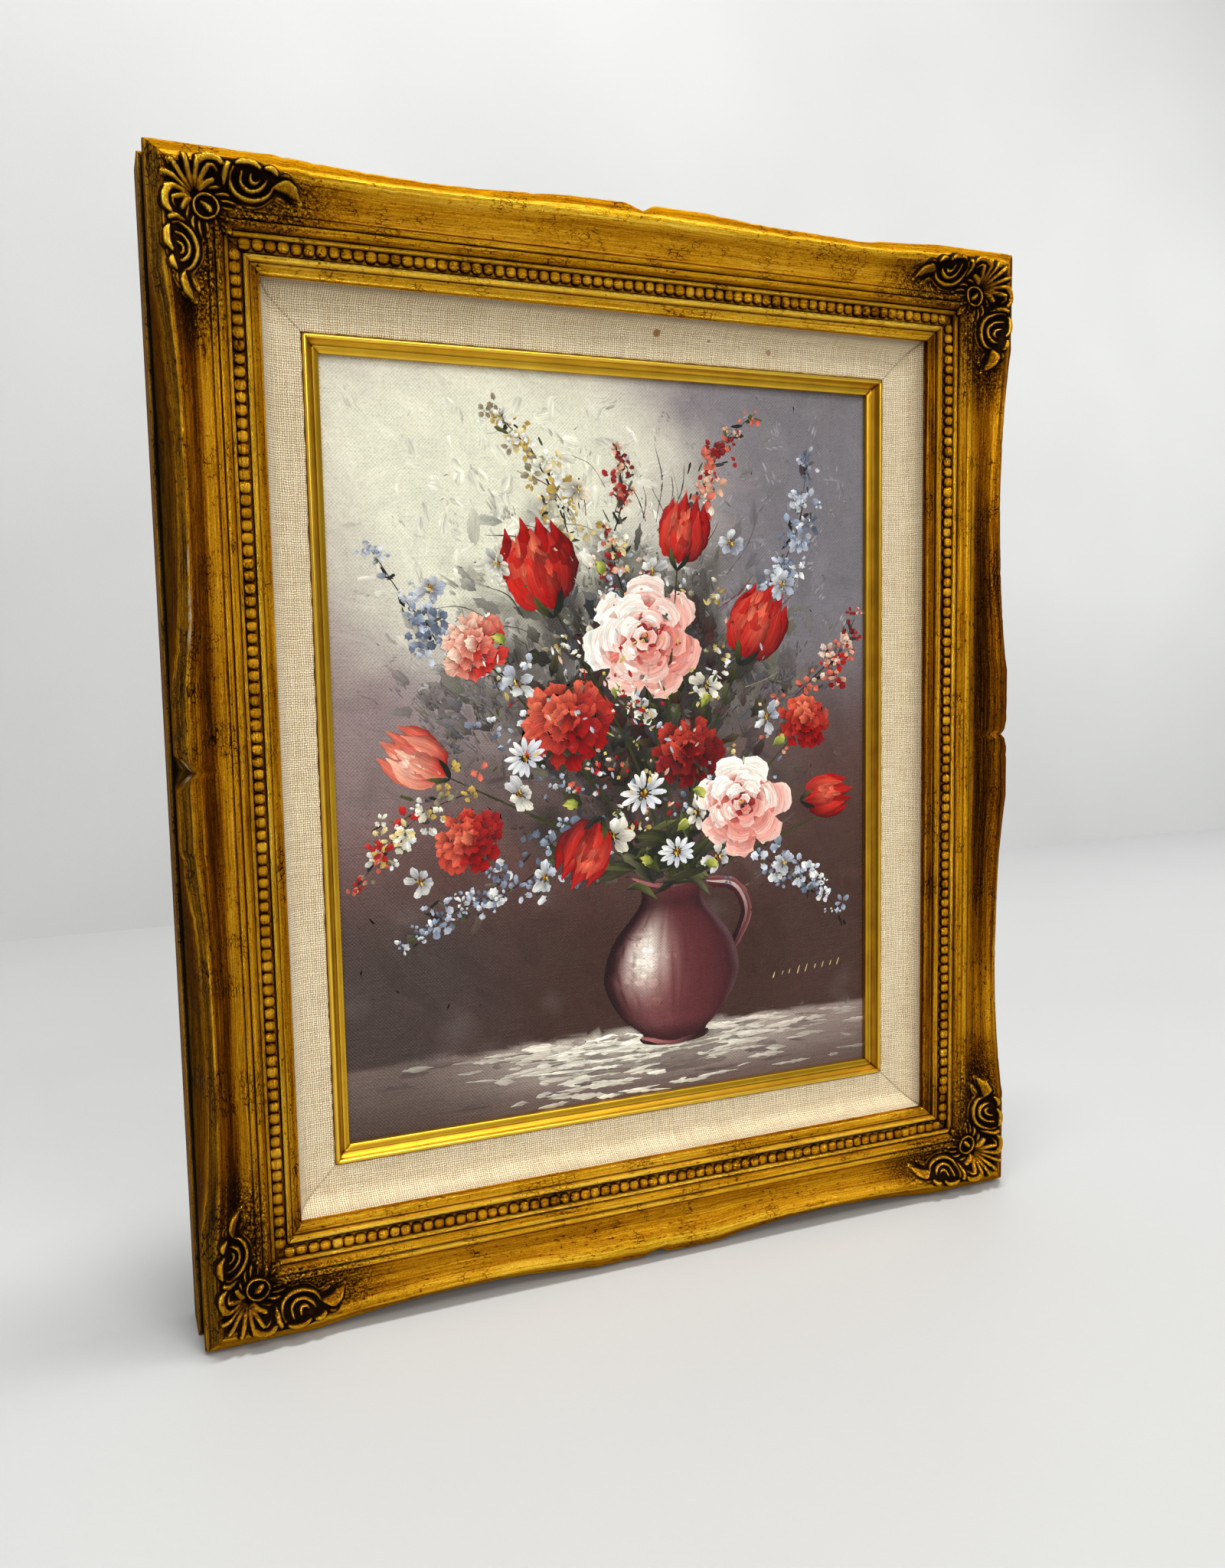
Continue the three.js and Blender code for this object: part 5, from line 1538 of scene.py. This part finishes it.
def oil_paint():
    """Bristle marks along each stroke, and the canvas weave where the paint is thin."""
    s = Shader("oil_paint")
    pigment = s.node("Attribute", {}, "Color", attribute_name="pigment")
    stroke, canvas, (thin,) = s.vector("stroke"), s.vector("canvas"), s.values("thin")
    streaks = s.noise(stroke, 1.0, 3.0, 0.6, stretch=(0.22, 2.6)) * 0.5
    streaks = streaks + s.noise(stroke, 1.0, 2.0, stretch=(0.10, 0.8)) * 0.5
    over, under = s.threads(canvas, CANVAS_PITCH)
    slubs = s.noise(canvas, 1.0, 2.0, stretch=(0.25, 1.6)) + s.noise(canvas, 1.0, 2.0, stretch=(1.6, 0.25))
    weave = ((slubs - 1.0) * 2.0 + over * under) * thin
    haze = s.noise(canvas, 0.06, 6.0, 0.66) - 0.5
    scumble = s.noise(canvas, 1.0, 5.0, 0.7, stretch=(0.9, 0.5)) - 0.5
    marked = (streaks - 0.5) * (1.0 - thin * 0.98)
    value = marked * 2.3 + 1.0 + weave * 0.11 + haze * 0.30 + scumble * 0.28
    grey = s.node("CombineXYZ", {0: value, 1: value, 2: value})
    s.set(Base_Color=s.mix(1.0, pigment, grey, "MULTIPLY"), Specular_IOR_Level=0.22,
          Normal=s.bump(weave, 0.6, 0.00014, Normal=s.bump(streaks, 1.0, 0.00045)),
          Roughness=s.span(streaks, 0.3, 0.7, 0.46, 0.30))
    return s.material


def board_back():
    s = Shader("panel_board")
    canvas = s.vector("canvas")
    fibre = s.noise(canvas, 1.0, 5.0, stretch=(0.5, 1.2))
    shade = fibre * 0.35 + s.noise(canvas, 0.02, 4.0) * 0.65
    colour = s.ramp(shade, (0.25, 0.22, 0.15, 0.09), (0.5, 0.36, 0.27, 0.17), (0.75, 0.46, 0.37, 0.25))
    s.set(Base_Color=colour, Roughness=0.9, Normal=s.bump(fibre, 0.5, 0.0001))
    return s.material


def painted_panel(material, back_material):
    """The panel itself: a closed board with a fine front and bare sides and back."""
    x, y = np.meshgrid(np.linspace(-PANEL_W / 2, PANEL_W / 2, 117),
                       np.linspace(-PANEL_H / 2, PANEL_H / 2, 147), indexing="ij")
    n, m = x.shape
    front = np.stack([x, y, PANEL_BACK + PANEL_T + 0.02 * layered(x, y, 88, 3)], -1).reshape(-1, 3)
    edge = np.roll(border(n, m)[::-1], 1)
    low = n * m + np.arange(len(edge))
    sides = np.stack([edge, low, np.roll(low, -1), np.roll(edge, -1)], -1)
    points = np.vstack([front, front[edge] * (1, 1, 0) + (0, 0, PANEL_BACK)])
    flat = points * (1, 1, 0)
    piece = mesh_piece("painted_panel", place(*points.T),
                       [grid_quads(n, m)[:, ::-1], sides, low[::-1][None, :]],
                       {"thin": np.ones(len(points))}, {"stroke": flat, "canvas": flat},
                       {"pigment": backdrop(points[:, 0], points[:, 1])})
    finish_piece(piece, material, "canvas_panel", 50)
    piece.data.materials.append(back_material)
    index = np.arange(len(piece.data.polygons)) >= (n - 1) * (m - 1)
    piece.data.polygons.foreach_set("material_index", index.astype(np.int32))


# ------------------------------------------------------------------ stage, camera and light

def stage_plane(name, corners, shades, rough):
    mesh = bpy.data.meshes.new(name)
    mesh.from_pydata(corners, [], [(0, 1, 2, 3)])
    piece = bpy.data.objects.new(name, mesh)
    bpy.context.scene.collection.objects.link(piece)
    s = Shader(name)
    where = s.node("TexCoord", {}, "Object")
    colour = s.ramp(s.noise(where, 5.0, 2.0), (0.3, *shades[0]), (0.7, *shades[1]))
    s.set(Base_Color=colour, Roughness=rough, Normal=s.bump(s.noise(where, 420.0, 2.0), 0.25, 0.0003))
    mesh.materials.append(s.material)


def area_light(name, place_at, aim, size, power, colour=(1.0, 1.0, 1.0)):
    light = bpy.data.lights.new(name, "AREA")
    light.shape, light.size, light.size_y = "RECTANGLE", size[0], size[1]
    light.energy, light.color = power, colour
    lamp = bpy.data.objects.new(name, light)
    lamp.location = place_at
    lamp.visible_camera = False
    lamp.rotation_euler = (Vector(aim) - Vector(place_at)).to_track_quat("-Z", "Y").to_euler()
    bpy.context.scene.collection.objects.link(lamp)


def studio():
    # The wall stands far enough back for the views from behind to be in front of it.
    floor, wall = cad_box[0].z, 0.62
    stage_plane("table_top", [(-3, -3, floor), (3, -3, floor), (3, wall, floor), (-3, wall, floor)],
                ((0.445, 0.45, 0.45), (0.465, 0.47, 0.47)), 0.55)
    stage_plane("wall", [(-3, wall, floor), (3, wall, floor), (3, wall, 3), (-3, wall, 3)],
                ((0.47, 0.475, 0.47), (0.50, 0.505, 0.50)), 0.85)
    world = bpy.data.worlds.new("studio")
    world.use_nodes = True
    ground = world.node_tree.nodes["Background"]
    ground.inputs[0].default_value = (0.86, 0.90, 0.95, 1.0)
    ground.inputs[1].default_value = 0.24
    bpy.context.scene.world = world
    area_light("overhead", (0.06, -0.16, 1.25), (0, -0.03, -0.2), (0.50, 0.24), 22.5, (1.0, 0.985, 0.955))
    area_light("key", (0.25, -1.0, 0.85), (0, 0, -0.15), (0.45, 0.35), 6.0, (1.0, 0.99, 0.96))
    area_light("ceiling", (-0.30, -0.95, 1.5), (0, 0, -0.2), (2.2, 1.3), 9, (0.985, 1.0, 1.0))
    area_light("wall_wash", (1.0, 0.12, 0.16), (0.82, 0.62, 0.0), (0.5, 0.5), 2.3)
    area_light("front", (-0.5, -2.1, 0.75), (0, 0, -0.15), (1.4, 0.7), 20.5, (1.0, 1.0, 0.99))
    camera = bpy.data.cameras.new("camera")
    camera.lens, camera.sensor_width = 28.63, 36
    camera.clip_start, camera.clip_end = 0.01, 20
    eye = bpy.data.objects.new("camera", camera)
    right, up = Vector((0.921428, -0.388111, -0.018467)), Vector((0.054779, 0.082706, 0.995067))
    back = Vector((-0.384669, -0.917894, 0.097468))
    turn = Matrix((right, up, back)).transposed().to_4x4()
    eye.matrix_world = Matrix.Translation((-0.16401, -0.38874, -0.12783)) @ turn
    bpy.context.scene.collection.objects.link(eye)
    bpy.context.scene.camera = eye
    bpy.context.scene.view_settings.view_transform = "Standard"


# ------------------------------------------------------------------ build

studio()
gold = antique_gold("antique_gold")
for side, sizes in SIDES.items():
    frame_rail(side, sizes, gold)

cast, grid = antique_gold("cast_corner_gold", streak=0.2, dull=0.40), ornament_grid()
for corner in CORNERS:
    corner_ornament(corner, grid, cast)

cloth, satin = linen_cloth(), fillet_gold()
for side in SIDES:
    moulding(f"linen_{side}", side, LINER, LINER_INNER, 1.2, "linen", cloth, f"linen_liner_{side}", 0.16, 50)
    moulding(f"fillet_{side}", side, FILLET, 0.0, 2.0, "fillet_gold", satin, f"gold_fillet_{side}", 0.0, 40)

oils = oil_paint()
painted_panel(oils, board_back())
paint = Paint(oils)
ground_strokes(paint)
paint.piece("paint_ground")
bouquet(paint)
